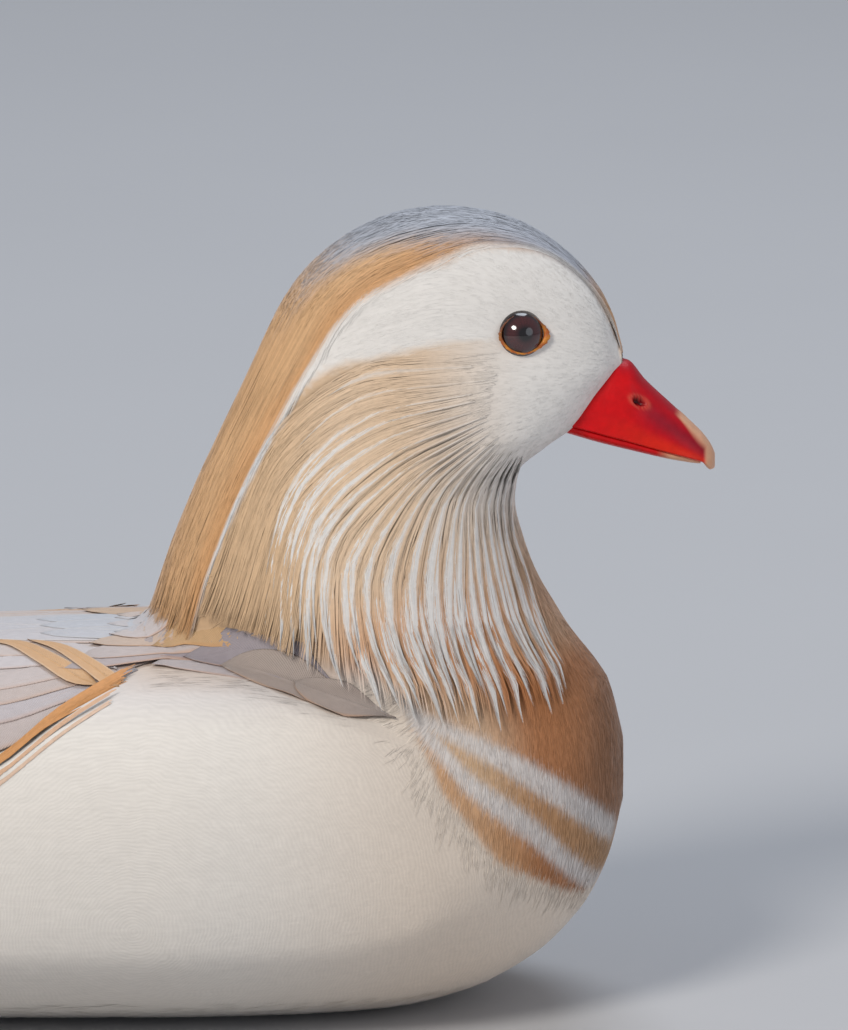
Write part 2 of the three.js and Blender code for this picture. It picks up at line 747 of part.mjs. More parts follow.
// Flank, the pouch of side feathers that covers the lower edge of the folded wing.
const flankTop = through([
  [-64, 45],
  [-40, 50],
  [-20, 55],
  [0, 60],
  [19.8, 65.8],
  [31, 72],
  [39, 75],
  [48, 76.9],
  [67, 77.3],
  [78, 76.3],
  [89, 74.4],
  [100, 71.4],
  [112, 67.6],
  [136, 60],
]);
const flankLow = through([
  [-64, 27],
  [-40, 15],
  [-10, 9],
  [90, 9],
  [120, 15],
  [136, 22],
]);
const flankFront = through([
  [0, 110],
  [0.25, 119],
  [0.55, 132],
  [0.75, 131],
  [1, 112],
]);
const flankRear = through([
  [0, -66],
  [0.5, -64],
  [1, -50],
]);
function flankLift(u, v) {
  const along = smoothstep(u, 0, 0.3) * (1 - 0.55 * smoothstep(u, 0.6, 1));
  const down = 1 - smoothstep(v, 0.45, 1);
  return 2.1 + 2.5 * along * down;
}
function flankPlace(u, v, side, lift) {
  const x = lerp(flankFront(v), flankRear(v), u);
  const z = lerp(flankTop(x), flankLow(x), v);
  return body.point(x, body.angle(x, z), side, lift);
}
function flankPad(side) {
  const grid = (liftAt) =>
    steps(8).map((u) => steps(6).map((v) => flankPlace(u ** 1.25, v, side, liftAt(u, v))));
  return plate(
    grid((u, v) => flankLift(u, v)),
    grid(() => -1.5),
  );
}
// Long feathers end the pouch along its upper edge and at its rear: [x, height under the edge] at root and
// at tip.
const FLANK_FEATHERS = [
  ...steps(5).map((s) => [lerp(64, -30, s), 9, lerp(33, -66, s), -2.2]),
  [-34, 17, -70, 7],
];
function bodyVane(x0, z0, x1, z1, side, lifts, halfWidth, thickness) {
  const at = (s) => {
    const x = lerp(x0, x1, s);
    const angle = body.angle(x, lerp(z0, z1, s));
    const point = body.point(x, angle, side, lerp(lifts[0], lifts[1], smoothstep(s, 0, 0.7)));
    return { point, normal: body.point(x, angle, side, 1).sub(body.point(x, angle, side, 0)).normalize() };
  };
  return vane(at, halfWidth, thickness);
}
function flankFeathers(side) {
  return FLANK_FEATHERS.map(([x0, under0, x1, under1]) =>
    bodyVane(x0, flankTop(x0) - under0, x1, flankTop(x1) - under1, side, [1.6, 3.9], 8.5, 1.1),
  );
}

// Wing, folded along the back above the flank, with the tips of the flight feathers over the rump.
const WING_FRONT = 77;
const WING_REAR = -104;
const backEdge = through([
  [WING_REAR, 4],
  [-70, 7],
  [-20, 9],
  [40, 9],
  [WING_FRONT, 14],
]);
const wingEdge = through([
  [WING_REAR, 52],
  [-80, 50],
  [-60, 44],
  [-40, 46],
  [-20, 51],
  [0, 56],
  [19.8, 61.8],
  [31, 68],
  [39, 71],
  [48, 73],
  [67, 74],
  [WING_FRONT, 74],
]);
function wingPlace(x, v, side, lift) {
  const from = body.angleOut(x, backEdge(x));
  const to = body.angle(x, wingEdge(x));
  return body.point(x, lerp(from, to, v), side, lift);
}
const WING_CORE = 1.2;
function wingPad(side) {
  const grid = (lift) =>
    steps(10).map((s) => {
      const x = lerp(WING_FRONT, WING_REAR, s);
      return steps(5).map((v) => wingPlace(x, v, side, lift));
    });
  return plate(grid(WING_CORE), grid(-1.5));
}
// Tiers of feathers: how many, x of their roots, length, the band of the wing's width they cover,
// half width, and how high they lie at root and tip.
const WING_TIERS = [
  [1, 0, 76, 0.8, 0.8, 11, 0.7, 1.9],
  [2, -8, 74, 0.16, 0.5, 10.5, 0.7, 2.3],
  [3, 28, 54, 0.12, 0.86, 10.5, 0.7, 2.6],
  [3, 62, 48, 0.12, 0.86, 10.5, 0.7, 2.5],
];
const VANE_THICK = 0.9;
function wingFeathers(side) {
  const roll = dice(side < 0 ? 31 : 35);
  return WING_TIERS.flatMap(([count, x0, length, from, to, halfWidth, low, high]) =>
    steps(count).map((share) => {
      const v = lerp(from, to, share);
      const start = x0 - 9 * share;
      const end = start - length * (1 + 0.05 * roll());
      const at = (s) => {
        const x = lerp(start, end, s);
        const place = (lift) => wingPlace(x, v, side, lift);
        const point = place(lerp(low, high, smoothstep(s, 0, 0.8)));
        return { point, normal: place(1).sub(place(0)).normalize() };
      };
      return vane(at, halfWidth, VANE_THICK);
    }),
  );
}
// The folded flight feathers run on over the rump, the longest nearest the middle: [tip x, tip y, tip z].
const FLIGHT_TIPS = [
  [-134, 7, 69],
  [-123, 10, 66.8],
  [-111, 15, 63.6],
];
function flightFeathers(side) {
  return FLIGHT_TIPS.map(([x, y, z], i) => {
    const at = (s) => ({
      point: new THREE.Vector3(
        lerp(-56, x, s),
        side * bezier(24 + 2.2 * i, 18 + 2 * i, y, s),
        bezier(70.5 - 0.8 * i, 65.5 - 0.8 * i, z, s),
      ),
      normal: new THREE.Vector3(0.12, side * (0.3 + 0.1 * i), 1).normalize(),
    });
    return vane(at, 6.5, 1);
  });
}

// Sail, the tall fan that the innermost wing feather raises: its root line and its top line from the side.
const SAIL_ROOT = [
  [8, 74],
  [-8, 73],
  [-22, 72],
  [-36, 71],
  [-48, 69.5],
];
const SAIL_TOP = [
  [-10, 103],
  [-22, 116],
  [-36, 123.5],
  [-50, 125.5],
  [-60, 119],
];
const SAIL_OUT = [21, 27]; // from the middle plane, at the root and at the top
const SAIL_THICK = 1.3;
function sailShape(side) {
  const [rootX, rootZ, topX, topZ] = [SAIL_ROOT, SAIL_TOP].flatMap((line) =>
    [0, 1].map((k) => through(line.map((p, i) => [i / 4, p[k]]))),
  );
  const grid = (face) =>
    steps(7).map((u) =>
      steps(5).map((v) => {
        const x = lerp(rootX(u), topX(u), v) - 4 * Math.sin(v * Math.PI) * (1 - u);
        const bow = 3.5 * Math.sin(u * Math.PI) * v;
        const thick = (SAIL_THICK / 2) * (1 - 0.5 * v);
        const out = lerp(SAIL_OUT[0], SAIL_OUT[1], v) + bow + face * thick;
        return new THREE.Vector3(x, side * out, lerp(rootZ(u), topZ(u), v));
      }),
    );
  return plate(grid(1), grid(-1));
}

// Tail
const TAIL_CORE = [
  [-140, 61.5, 58, 59.8, 16],
  [-126, 59.6, 53, 56.4, 19.5],
  [-110, 57.5, 48, 52.5, 19.5],
  [-98, 55.5, 44.5, 50, 17.5],
  [-88, 54, 44, 49, 15],
];
const TAIL_END = -175;
const tailCore = new Loft(TAIL_CORE, 2.2, [X, Z, Y]);
const tailShape = () => loftSolid(tailCore, tailCore.places(6), () => halfTurn(7), () => 0);
// Feathers of the fan from its outermost pair in, then the coverts over and under their roots.
function tailFeather(rootX, rootY, rootZ, tipX, tipY, tipZ, halfWidth, tilt) {
  const at = (s) => ({
    point: new THREE.Vector3(lerp(rootX, tipX, s), lerp(rootY, tipY, s), lerp(rootZ, tipZ, s)),
    normal: new THREE.Vector3(0.18, tilt, 1).normalize(),
  });
  return vane(at, halfWidth, 0.9);
}
function tailFan() {
  const pairs = steps(5).flatMap((out) =>
    [1, -1].map((side) =>
      tailFeather(
        -108,
        side * lerp(3, 12, out),
        lerp(54.5, 51, out),
        TAIL_END + 24 * out ** 2,
        side * lerp(3.6, 25, out),
        lerp(66.5, 60, out),
        7,
        side * lerp(0.05, 0.28, out),
      ),
    ),
  );
  const over = steps(3).map((share) => {
    const y = lerp(-1, 1, share);
    const drop = 3 * y * y;
    return tailFeather(-98, 11 * y, 56.6 - drop, -139 + 7 * y * y, 13 * y, 63.4 - drop, 9, 0.25 * y);
  });
  const under = steps(2).map((share) => {
    const y = lerp(-1, 1, share);
    return tailFeather(-96, 11 * y, 46, -138, 9 * y, 56.5, 9.5, -0.1 * y);
  });
  return [...pairs, ...over, ...under];
}

// Legs and webbed feet, folded flat beside the belly.
const FOOT_JOINT = [-56, 35, 3];
const TOES = [
  [-27, 29.5, 1.5],
  [-19, 37, 1.7],
  [-26, 44.5, 1.5],
];
const CLAW = 4.5;
function legPieces(side) {
  const place = (x, y, z) => new THREE.Vector3(x, side * y, z);
  const joint = place(...FOOT_JOINT);
  const shank = tube(
    [place(-64, 27, 27), place(-73, 29, 17), place(-76, 31, 8), place(-67, 33, 4), joint],
    [10, 7.5, 4.2, 2.9, 2.8],
  );
  const hind = tube([joint, place(-61, 30, 2), place(-64, 28, 1.2)], [2.2, 1.5, 0.5]);
  const toes = TOES.map(([x, y, thick]) => {
    const tip = place(x, y, 1.4);
    const reach = tip.clone().sub(joint).normalize();
    const nail = tip.clone().addScaledVector(reach, CLAW).setZ(0.6);
    const middle = joint.clone().lerp(tip, 0.5).setZ(2);
    return tube([joint, middle, tip, nail], [2.8, thick, thick * 0.85, 0.3]);
  });
  const webs = [0, 1].map((i) => {
    const [a, b] = [TOES[i], TOES[i + 1]];
    const rows = steps(3).map((s) =>
      [a, b].map(([x, y]) => joint.clone().lerp(place(x, y, 0), 0.08 + 0.9 * s)),
    );
    const face = (z) =>
      rows.map((row, r) =>
        steps(3).map((v) => {
          const p = row[0].clone().lerp(row[1], v);
          p.x -= 5 * (r / 2) ** 2 * Math.sin(v * Math.PI);
          return p.setZ(z);
        }),
      );
    return plate(face(1.1), face(0));
  });
  return [shank, hind, ...toes, ...webs];
}

addNode("torso", fused([torsoShape()]), BREAST);
addNode("neck", fused([neckShape()], [torsoGrown]), CREAM);
const eyeCuts = (side) => [solid(eyeball(side, GAP)), solid(lidRing(side, GAP))];
addNode("head", fused([headShape()], [...eyeCuts(1), ...eyeCuts(-1)]), WHITE);
addNode(
  "bill_upper",
  fused([billShape(billUpper, 10)], [headGrown, solid(nostril(1)), solid(nostril(-1))]),
  RED,
);
addNode("bill_lower", fused([billShape(billLower, 5)], [headGrown, upperGrown]), RED);
const crestPieces = [crestPad(), ...crestLocks()];
const tailPieces = [tailShape(), ...tailFan()];
const crest = fused(crestPieces, [headGrown, neckGrown, torsoGrown]);
const tail = fused(tailPieces, [torsoGrown]);
addNode("crest", crest, APRICOT);
addNode("tail", tail, WHITE);
const crestGrown = swelled(crestPieces).add(crest);
const tailGrown = swelled(tailPieces).add(tail);

for (const [word, side] of [
  ["left", 1],
  ["right", -1],
]) {
  addNode(`eye_${word}`, fused([eyeball(side)]), EYE);
  addNode(`eyelid_${word}`, fused([lidRing(side)], [solid(eyeball(side, GAP))]), ORANGE);
  const farHalf = solid(new THREE.BoxGeometry(400, 40, 400).translate(0, side * (GAP / 2 - 20), 100));

  const ruffPieces = [ruffPad(side), ...ruffLocks(side)];
  const ruff = fused(ruffPieces, [headGrown, neckGrown, torsoGrown, crestGrown, farHalf]);
  const ruffGrown = swelled(ruffPieces).add(ruff);
  addNode(`ruff_${word}`, ruff, CREAM);

  const flankPieces = [flankPad(side), ...flankFeathers(side)];
  const flank = fused(flankPieces, [torsoGrown, neckGrown, ruffGrown]);
  const flankGrown = swelled(flankPieces).add(flank);
  addNode(`flank_${word}`, flank, WHITE);

  const wingPieces = [wingPad(side), ...wingFeathers(side), ...flightFeathers(side)];
  const wing = fused(wingPieces, [
    torsoGrown,
    neckGrown,
    flankGrown,
    ruffGrown,
    crestGrown,
    tailGrown,
    farHalf,
  ]);
  const wingGrown = swelled(wingPieces).add(wing);
  addNode(`wing_${word}`, wing, WHITE);

  addNode(`sail_${word}`, fused([sailShape(side)], [torsoGrown, wingGrown]), APRICOT);
  addNode(`leg_${word}`, fused(legPieces(side), [torsoGrown, flankGrown]), LEG);
}

export default bird;
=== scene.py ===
import math

import bpy
import numpy as np
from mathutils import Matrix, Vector


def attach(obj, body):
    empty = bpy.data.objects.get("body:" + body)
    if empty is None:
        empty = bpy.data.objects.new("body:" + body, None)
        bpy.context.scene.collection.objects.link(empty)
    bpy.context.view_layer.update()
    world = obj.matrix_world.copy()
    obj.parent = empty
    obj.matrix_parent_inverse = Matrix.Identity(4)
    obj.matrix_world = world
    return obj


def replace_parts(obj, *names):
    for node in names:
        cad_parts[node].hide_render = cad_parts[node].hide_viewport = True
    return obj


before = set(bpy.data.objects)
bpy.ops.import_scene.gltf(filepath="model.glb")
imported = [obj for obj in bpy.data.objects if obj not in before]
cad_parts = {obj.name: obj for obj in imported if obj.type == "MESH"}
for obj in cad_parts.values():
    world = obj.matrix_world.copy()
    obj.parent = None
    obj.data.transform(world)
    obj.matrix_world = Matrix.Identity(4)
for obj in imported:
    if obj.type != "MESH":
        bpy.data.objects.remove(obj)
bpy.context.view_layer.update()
MM = 0.001
SIDES = (("left", 1), ("right", -1))
SEED = 20
rng = np.random.default_rng(SEED)

# Forms, in millimetres: +X is forward, +Y the bird's left, +Z up and the floor at 0.
# Body, from the tail root forward: [x, top, bottom, height of the widest point, half width].
BODY = [
    [-98, 57, 39, 49, 21],
    [-90, 60.5, 30, 48, 28],
    [-78, 65, 19, 46.5, 36.5],
    [-60, 70.5, 9, 45, 46.5],
    [-38, 75.5, 2.4, 43.5, 55.5],
    [-10, 79.5, -1.2, 43, 61.5],
    [22, 81.5, -2, 42.5, 64],
    [55, 82.3, -2, 42.5, 63.5],
    [82, 82.5, -1.8, 43, 60],
    [104, 82.2, -0.8, 43.5, 54.5],
    [122, 81.5, 3, 44.5, 47.5],
    [136, 79.5, 10, 45.5, 39],
    [146, 75.5, 19.5, 47, 30],
    [152, 69.5, 30, 49, 20.5],
    [155, 61, 40.5, 50.5, 10.5],
    [156, 52, 49, 50.5, 1.5],
]
# Outer surface of head, ruff and crest, from the shoulders up: z, front, back, x of the widest point and half
# width.
PLUME = [
    [70, 150, 49.5, 99, 37],
    [78, 146.2, 50.5, 98, 36],
    [86, 141.8, 52.2, 97, 34.8],
    [94, 137.2, 54.6, 97, 33.6],
    [102, 134.2, 57.4, 98, 32],
    [110, 132.4, 60.6, 100, 29.8],
    [117, 133.4, 63.6, 102, 27.6],
    [122.5, 139.5, 66.2, 104.5, 25.8],
    [127.5, 146.5, 68.5, 107, 24.2],
    [134, 151.5, 71.8, 110, 22.4],
    [141, 155, 74.9, 112, 20.6],
    [148, 154, 78, 113.5, 19],
    [155, 151.3, 81.6, 114.5, 17.8],
    [161.5, 146.8, 86.3, 115.3, 15.8],
    [167, 141, 92.4, 116, 13.2],
    [171, 134.8, 98.8, 116, 10.2],
    [173.6, 128, 105.2, 116, 6.9],
    [175, 120.5, 111.8, 116, 2.6],
]
# The rump and the roots of the tail: rows as for the body.
TAIL_CORE = [
    [-140, 61.5, 58, 59.8, 16],
    [-126, 59.6, 53, 56.4, 19.5],
    [-110, 57.5, 48, 52.5, 19.5],
    [-98, 55.5, 44.5, 50, 17.5],
    [-88, 54, 44, 49, 15],
]


def through(points):
    """A smooth function through [x, y] points whose x rises, which doesn't overshoot between them."""
    xs, ys = np.array(points, float).T
    rise = np.diff(ys) / np.diff(xs)
    before, after = rise[:-1], rise[1:]
    same = before * after > 0
    mean = 2 * before * after / np.where(same, before + after, 1)
    slopes = np.concatenate([rise[:1], np.where(same, mean, 0), rise[-1:]])

    def value(x):
        x = np.asarray(x, float)
        i = np.clip(np.searchsorted(xs, x, side="right") - 1, 0, len(xs) - 2)
        span = xs[i + 1] - xs[i]
        s = np.clip((x - xs[i]) / span, 0, 1)
        s2, s3 = s * s, s * s * s
        return (
            (2 * s3 - 3 * s2 + 1) * ys[i]
            + (s3 - 2 * s2 + s) * span * slopes[i]
            + (3 * s2 - 2 * s3) * ys[i + 1]
            + (s3 - s2) * span * slopes[i + 1]
        )

    return value


def along_rows(rows, k):
    """A smooth function of 0 to 1 through column k of a table, from its first row to its last."""
    return through([[i / (len(rows) - 1), row[k]] for i, row in enumerate(rows)])


def lerp(a, b, s):
    return a + (b - a) * s


def smooth(x, low, high):
    """0 at low and 1 at high, which may be the smaller, with a smooth rise between."""
    s = np.clip((np.asarray(x, float) - low) / (high - low), 0, 1)
    return s * s * (3 - 2 * s)


def unit(v):
    return v / np.maximum(np.linalg.norm(v, axis=-1, keepdims=True), 1e-12)


def dot(a, b):
    return np.sum(a * b, axis=-1)


def gradient(field, p, step=0.05):
    """The slope of a field at points."""
    parts = []
    for k in range(3):
        d = np.zeros(3)
        d[k] = step
        parts.append((field(p + d) - field(p - d)) / (2 * step))
    return np.stack(parts, axis=-1)


class Loft:
    """A stack of rounded sections, each with its reach to both ends of a second axis and its half width."""

    def __init__(self, rows, fullness, axes):
        rows = np.array(rows, float)
        self.columns = [through(rows[:, [0, k]]) for k in (1, 2, 3, 4)]
        self.fullness = fullness
        self.axes = list(axes)
        self.first, self.last = rows[0, 0], rows[-1, 0]

    def section(self, along):
        """The high and low end, the middle and the half width at a place along."""
        along = np.clip(along, self.first, self.last)
        return [f(along) for f in self.columns]

    def point(self, along, angle, side=1, lift=0):
        """A point on the surface at an angle from the high end, moved out by lift."""
        high, low, middle, half = self.section(along)
        power = 2 / self.fullness
        c, s = np.cos(angle), np.abs(np.sin(angle))
        reach = np.where(c > 0, high - middle, middle - low)
        n2 = np.sign(c) * np.abs(c) ** (2 - power) / reach
        n3 = s ** (2 - power) / half
        n = np.hypot(n2, n3)
        second = middle + reach * np.sign(c) * np.abs(c) ** power + lift * n2 / n
        across = side * (half * s**power + lift * n3 / n)
        parts = np.broadcast_arrays(np.asarray(along, float), second, across)
        out = np.empty(parts[0].shape + (3,))
        for axis, part in zip(self.axes, parts):
            out[..., axis] = part
        return out

    def angle(self, along, second):
        """The angle at which the surface reaches a place on the second axis."""
        high, low, middle, _ = self.section(along)
        reach = np.where(second > middle, high - middle, middle - low)
        share = np.clip((second - middle) / reach, -1, 1)
        return np.arccos(np.sign(share) * np.abs(share) ** (self.fullness / 2))

    def width(self, along, second):
        """How far across the surface lies there."""
        half = self.section(along)[3]
        return half * np.sin(self.angle(along, second)) ** (2 / self.fullness)

    def angle_out(self, along, across):
        """The angle at which the upper half of the surface reaches so far across."""
        half = self.section(along)[3]
        return np.arcsin(np.clip(across / half, 0, 1) ** (self.fullness / 2))

    def radius(self, p):
        """1 on the surface, less inside it and more outside."""
        a, b, c = self.axes
        high, low, middle, half = self.section(p[..., a])
        second = p[..., b] - middle
        reach = np.where(second > 0, high - middle, middle - low)
        f = self.fullness
        return (np.abs(second / reach) ** f + np.abs(p[..., c] / half) ** f) ** (1 / f)

    def distance(self, p):
        """About how far outside the surface a point lies."""
        slope = gradient(self.radius, p)
        return (self.radius(p) - 1) / np.maximum(np.linalg.norm(slope, axis=-1), 1e-4)


X, Y, Z = 0, 1, 2
# How square the sections are: 2 makes them elliptic.
BODY_FULLNESS, PLUME_FULLNESS, TAIL_FULLNESS, BILL_FULLNESS = 2.35, 2, 2.2, 2.15
body = Loft(BODY, BODY_FULLNESS, (X, Z, Y))
plume = Loft(PLUME, PLUME_FULLNESS, (Z, X, Y))
tail_core = Loft(TAIL_CORE, TAIL_FULLNESS, (X, Z, Y))

# Where the flank swells: z of its top and of its low edge, and x of its front.
FLANK_TOP = through(
    [[-64, 45], [-40, 50], [-20, 55], [0, 60], [19.8, 65.8], [31, 72], [39, 75.5], [48, 78.6]]
    + [[56, 80], [70, 79.4], [80, 77.6], [90, 74.6], [100, 71.2], [110, 67.6], [136, 60]]
)
FLANK_LOW = through([[-64, 27], [-40, 15], [-10, 9], [90, 9], [120, 15], [136, 22]])
FLANK_FRONT = through([[9, 112], [25, 131], [36, 134], [50, 122], [62, 115], [76, 108]])
# x at which the ruff starts to lie deep under its long feathers.
CHEEK_EDGE = through(
    [[70, 148], [86, 139.6], [94, 135], [102, 132], [110, 130.2], [115, 130.4], [119, 133]]
    + [[126, 135], [133, 134], [140, 129], [147, 121], [152, 118], [175, 118]]
)
# Bill: rows as for the body.
BILL_UPPER = [
    [142, 140.5, 127.9, 128.9, 7.2],
    [148, 141.6, 126.4, 127.4, 8],
    [152.4, 142, 125.2, 126.2, 8.1],
    [156.1, 141.3, 124.2, 125.2, 8],
    [160, 136.9, 123.1, 124, 7.7],
    [165.9, 131.3, 121.4, 122.3, 7.2],
    [169.8, 127.5, 120.2, 121.1, 6.3],
    [172.4, 124.9, 119.1, 120.1, 5],
    [174.2, 122.4, 117.4, 119, 3.3],
    [175, 120.6, 117.6, 118.6, 1.2],
]
BILL_LOWER = [
    [143, 129, 125.5, 127.6, 6.4],
    [150, 127.2, 123.5, 125.8, 7.2],
    [158, 125, 121.5, 123.7, 7.1],
    [165, 122.6, 119.9, 121.6, 6.5],
    [169.5, 121, 119, 120.4, 5.2],
    [172, 119.8, 118.5, 119.2, 2.4],
]
bill_upper = Loft(BILL_UPPER, BILL_FULLNESS, (X, Z, Y))
bill_lower = Loft(BILL_LOWER, BILL_FULLNESS, (X, Z, Y))
COAT_DEPTH = 3.2  # how deep the skin lies under the outer form where long feathers cover it
SHORT_COAT = 0.7  # the same under short ones
EYE_X, EYE_Z, EYE_RADIUS, EYE_DEPTH = 133.3, 150.2, 5.6, 3.7
BODY_REAR, BODY_FRONT = BODY[0][0], BODY[-1][0]
RUMP_REAR, RUMP_FRONT, RUMP_COAT = -136, -80, 1.2
NECK_LOW, PLUME_TOP = 62, PLUME[-1][0]
NECK_BLEND, RUMP_BLEND = 7, 5  # how softly these join the body
FLOOR_GAP = 0.15
OVER_BODY = 2.2  # how high the ruff's tips lie over breast and shoulders


def below_stripe(p):
    """About how far a point lies under the white band behind the eye and the line that runs down from it."""
    x, z = p[..., 0], p[..., 2]
    return (eye_stripe_low(x) - z) * lerp(0.45, 0.9, smooth(x, 78, 90))


def head_depth(p):
    """How deep the skin of head and neck lies under their outer form, where long feathers cover it."""
    x, y, z = p[..., 0], p[..., 1], p[..., 2]
    ruff = smooth(x, CHEEK_EDGE(z) - 8, CHEEK_EDGE(z) - 30) * smooth(below_stripe(p), 0.5, 9)
    crest = smooth(crown_inside(p), 0, 9) * smooth(x, 118, 100)
    near_eye = np.hypot(x - EYE_X, z - EYE_Z)
    socket = 0.5 * np.exp(-((near_eye / 6.5) ** 2)) * (np.abs(y) > 6)
    return SHORT_COAT + (COAT_DEPTH - SHORT_COAT) * np.maximum(ruff, crest) + socket


def flank_rise(p):
    """How much higher than the body's outer form the flank lies."""
    x, z = p[..., 0], p[..., 2]
    top = smooth(z, FLANK_TOP(x) + 0.4, FLANK_TOP(x) - 2.6)
    low = smooth(z, FLANK_LOW(x) - 6, FLANK_LOW(x) + 16)
    front = smooth(x, FLANK_FRONT(z) + 1.5, FLANK_FRONT(z) - 22)
    rear = smooth(x, -66, -40)
    return (0.6 + 2.9 * front * low) * top * low * rear * smooth(x, FLANK_FRONT(z) + 1.5, FLANK_FRONT(z) - 4)


def blended(a, b, reach):
    """The smaller of two fields, with a soft join."""
    h = np.clip(0.5 + (b - a) / (2 * reach), 0, 1)
    return lerp(b, a, h) - reach * h * (1 - h)


def trunk_field(p):
    """About how far outside the body's outer form a point lies."""
    x = p[..., 0]
    return np.maximum(body.distance(p), np.maximum(x - BODY_FRONT, BODY_REAR - x))


def neck_field(p):
    """About how far outside the outer form of head and neck a point lies."""
    z = p[..., 2]
    return np.maximum(plume.distance(p), np.maximum(z - PLUME_TOP, NECK_LOW - z))


def skin_field(p):
    """About how far outside the skin a point lies."""
    x, z = p[..., 0], p[..., 2]
    trunk = trunk_field(p) + SHORT_COAT
    neck = neck_field(p) + head_depth(p)
    rump = np.maximum(tail_core.distance(p), np.maximum(x - RUMP_FRONT, RUMP_REAR - x)) + RUMP_COAT
    whole = blended(blended(trunk - flank_rise(p), neck, NECK_BLEND), rump, RUMP_BLEND)
    return np.maximum(whole, FLOOR_GAP - z)


def coat_field(p):
    """About how far outside the long feathers of head and neck a point lies, also over the body."""
    return blended(trunk_field(p) - OVER_BODY, neck_field(p), NECK_BLEND)


def raised(p, normal, height, field, rounds=3, most=3):
    """Points moved along their normals to a height over a surface, by at most so much in each round."""
    for _ in range(rounds):
        p = p + normal * np.clip(height - field(p), -most, most)[..., None]
    return p


def settled(p, lift, field=skin_field, rounds=6):
    """Points moved straight to a height over a surface, and the outward normals there."""
    p = np.array(p, float)
    lift = np.asarray(lift, float)
    for _ in range(rounds):
        n = unit(gradient(field, p))
        p = p + n * np.clip(lift - field(p), -6, 6)[..., None]
    return p, unit(gradient(field, p))


def isosurface(field, low, high, step):
    """Vertices and faces of four corners where a field is 0, with a vertex in each cell that it crosses."""
    low, high = np.array(low, float), np.array(high, float)
    shape = np.ceil((high - low) / step).astype(int) + 1
    # A rough grid tells which points of the fine one are near the surface.
    coarse = 4
    rough_axes = [low[k] + step * coarse * np.arange(-(-shape[k] // coarse) + 1) for k in range(3)]
    rough = field(np.stack(np.meshgrid(*rough_axes, indexing="ij"), -1))
    index = [
        np.minimum((np.arange(n) + coarse // 2) // coarse, rough.shape[k] - 1) for k, n in enumerate(shape)
    ]
    values = rough[np.ix_(*index)]
    reach = 2.2 * step * coarse
    near = np.nonzero(np.abs(values) < reach)
    points = low + step * np.stack(near, -1)
    values[near] = field(points)
    inside = values < 0
    cells = tuple(n - 1 for n in shape)

    def corner(grid, c):
        return grid[c[0] : c[0] + cells[0], c[1] : c[1] + cells[1], c[2] : c[2] + cells[2]]

    corners = [(i, j, k) for i in (0, 1) for j in (0, 1) for k in (0, 1)]
    count = sum(corner(inside, c).astype(np.int8) for c in corners)
    active = (count > 0) & (count < 8)
    where = np.stack(np.nonzero(active), -1)
    number = np.full(cells, -1, np.int64)
    number[active] = np.arange(len(where))
    total = np.zeros((len(where), 3))
    crossings = np.zeros(len(where))
    for a in corners:
        for axis in range(3):
            if a[axis]:
                continue
            b = tuple(v + (k == axis) for k, v in enumerate(a))
            va = corner(values, a)[active]
            vb = corner(values, b)[active]
            crossed = (va < 0) != (vb < 0)
            share = np.where(crossed, va / np.where(crossed, va - vb, 1), 0)
            place = np.array(a, float) + share[:, None] * np.eye(3)[axis]
            total += np.where(crossed[:, None], place, 0)
            crossings += crossed
    vertices = low + step * (where + total / crossings[:, None])
    faces = []
    for axis in range(3):
        u, v = (axis + 1) % 3, (axis + 2) % 3
        ahead = [slice(None)] * 3
        ahead[axis] = slice(1, None)
        back = [slice(None)] * 3
        back[axis] = slice(0, -1)
        first, second = inside[tuple(back)], inside[tuple(ahead)]
        edge = np.stack(np.nonzero(first != second), -1)
        edge = edge[(edge[:, u] > 0) & (edge[:, v] > 0)]
        ring = []
        for du, dv in ((-1, -1), (0, -1), (0, 0), (-1, 0)):
            cell = edge.copy()
            cell[:, u] += du
            cell[:, v] += dv
            ring.append(number[tuple(np.minimum(cell, np.array(cells) - 1).T)])
        ring = np.stack(ring, -1)
        outward = first[tuple(edge.T)]
        ring = np.where(outward[:, None], ring, ring[:, ::-1])
        faces.append(ring[(ring >= 0).all(1)])
    return vertices, np.concatenate(faces)


def linear(r, g, b):
    """A display colour, 0 to 255, as linear light."""
    c = np.array([r, g, b], float) / 255
    return np.where(c <= 0.04045, c / 12.92, ((c + 0.055) / 1.055) ** 2.4)


WHITE = linear(240, 235, 229)
CREAM = linear(237, 230, 221)
LILAC = linear(214, 206, 206)
# A white tinted blue, as painted reflection of the sky on white feathers.
SKY_REFLECTION_WHITE = linear(196, 205, 216)
# The same, darker: painted shade and sky reflection along the crown's top.
CROWN_SHADE_AND_SKY_REFLECTION = SKY_REFLECTION_WHITE * np.array([0.7, 0.76, 0.83])
APRICOT = linear(220, 176, 130)
DEEP_APRICOT = linear(214, 154, 98)
BUFF = linear(230, 200, 168)
TAN = linear(208, 170, 126)
RUST = linear(214, 126, 54)
BREAST = linear(184, 124, 82)
# Darker brown for the breast's front: painted shade on the side away from the light.
BREAST_PAINTED_SHADE = linear(150, 112, 86)
BAR_WHITE = linear(226, 219, 214)

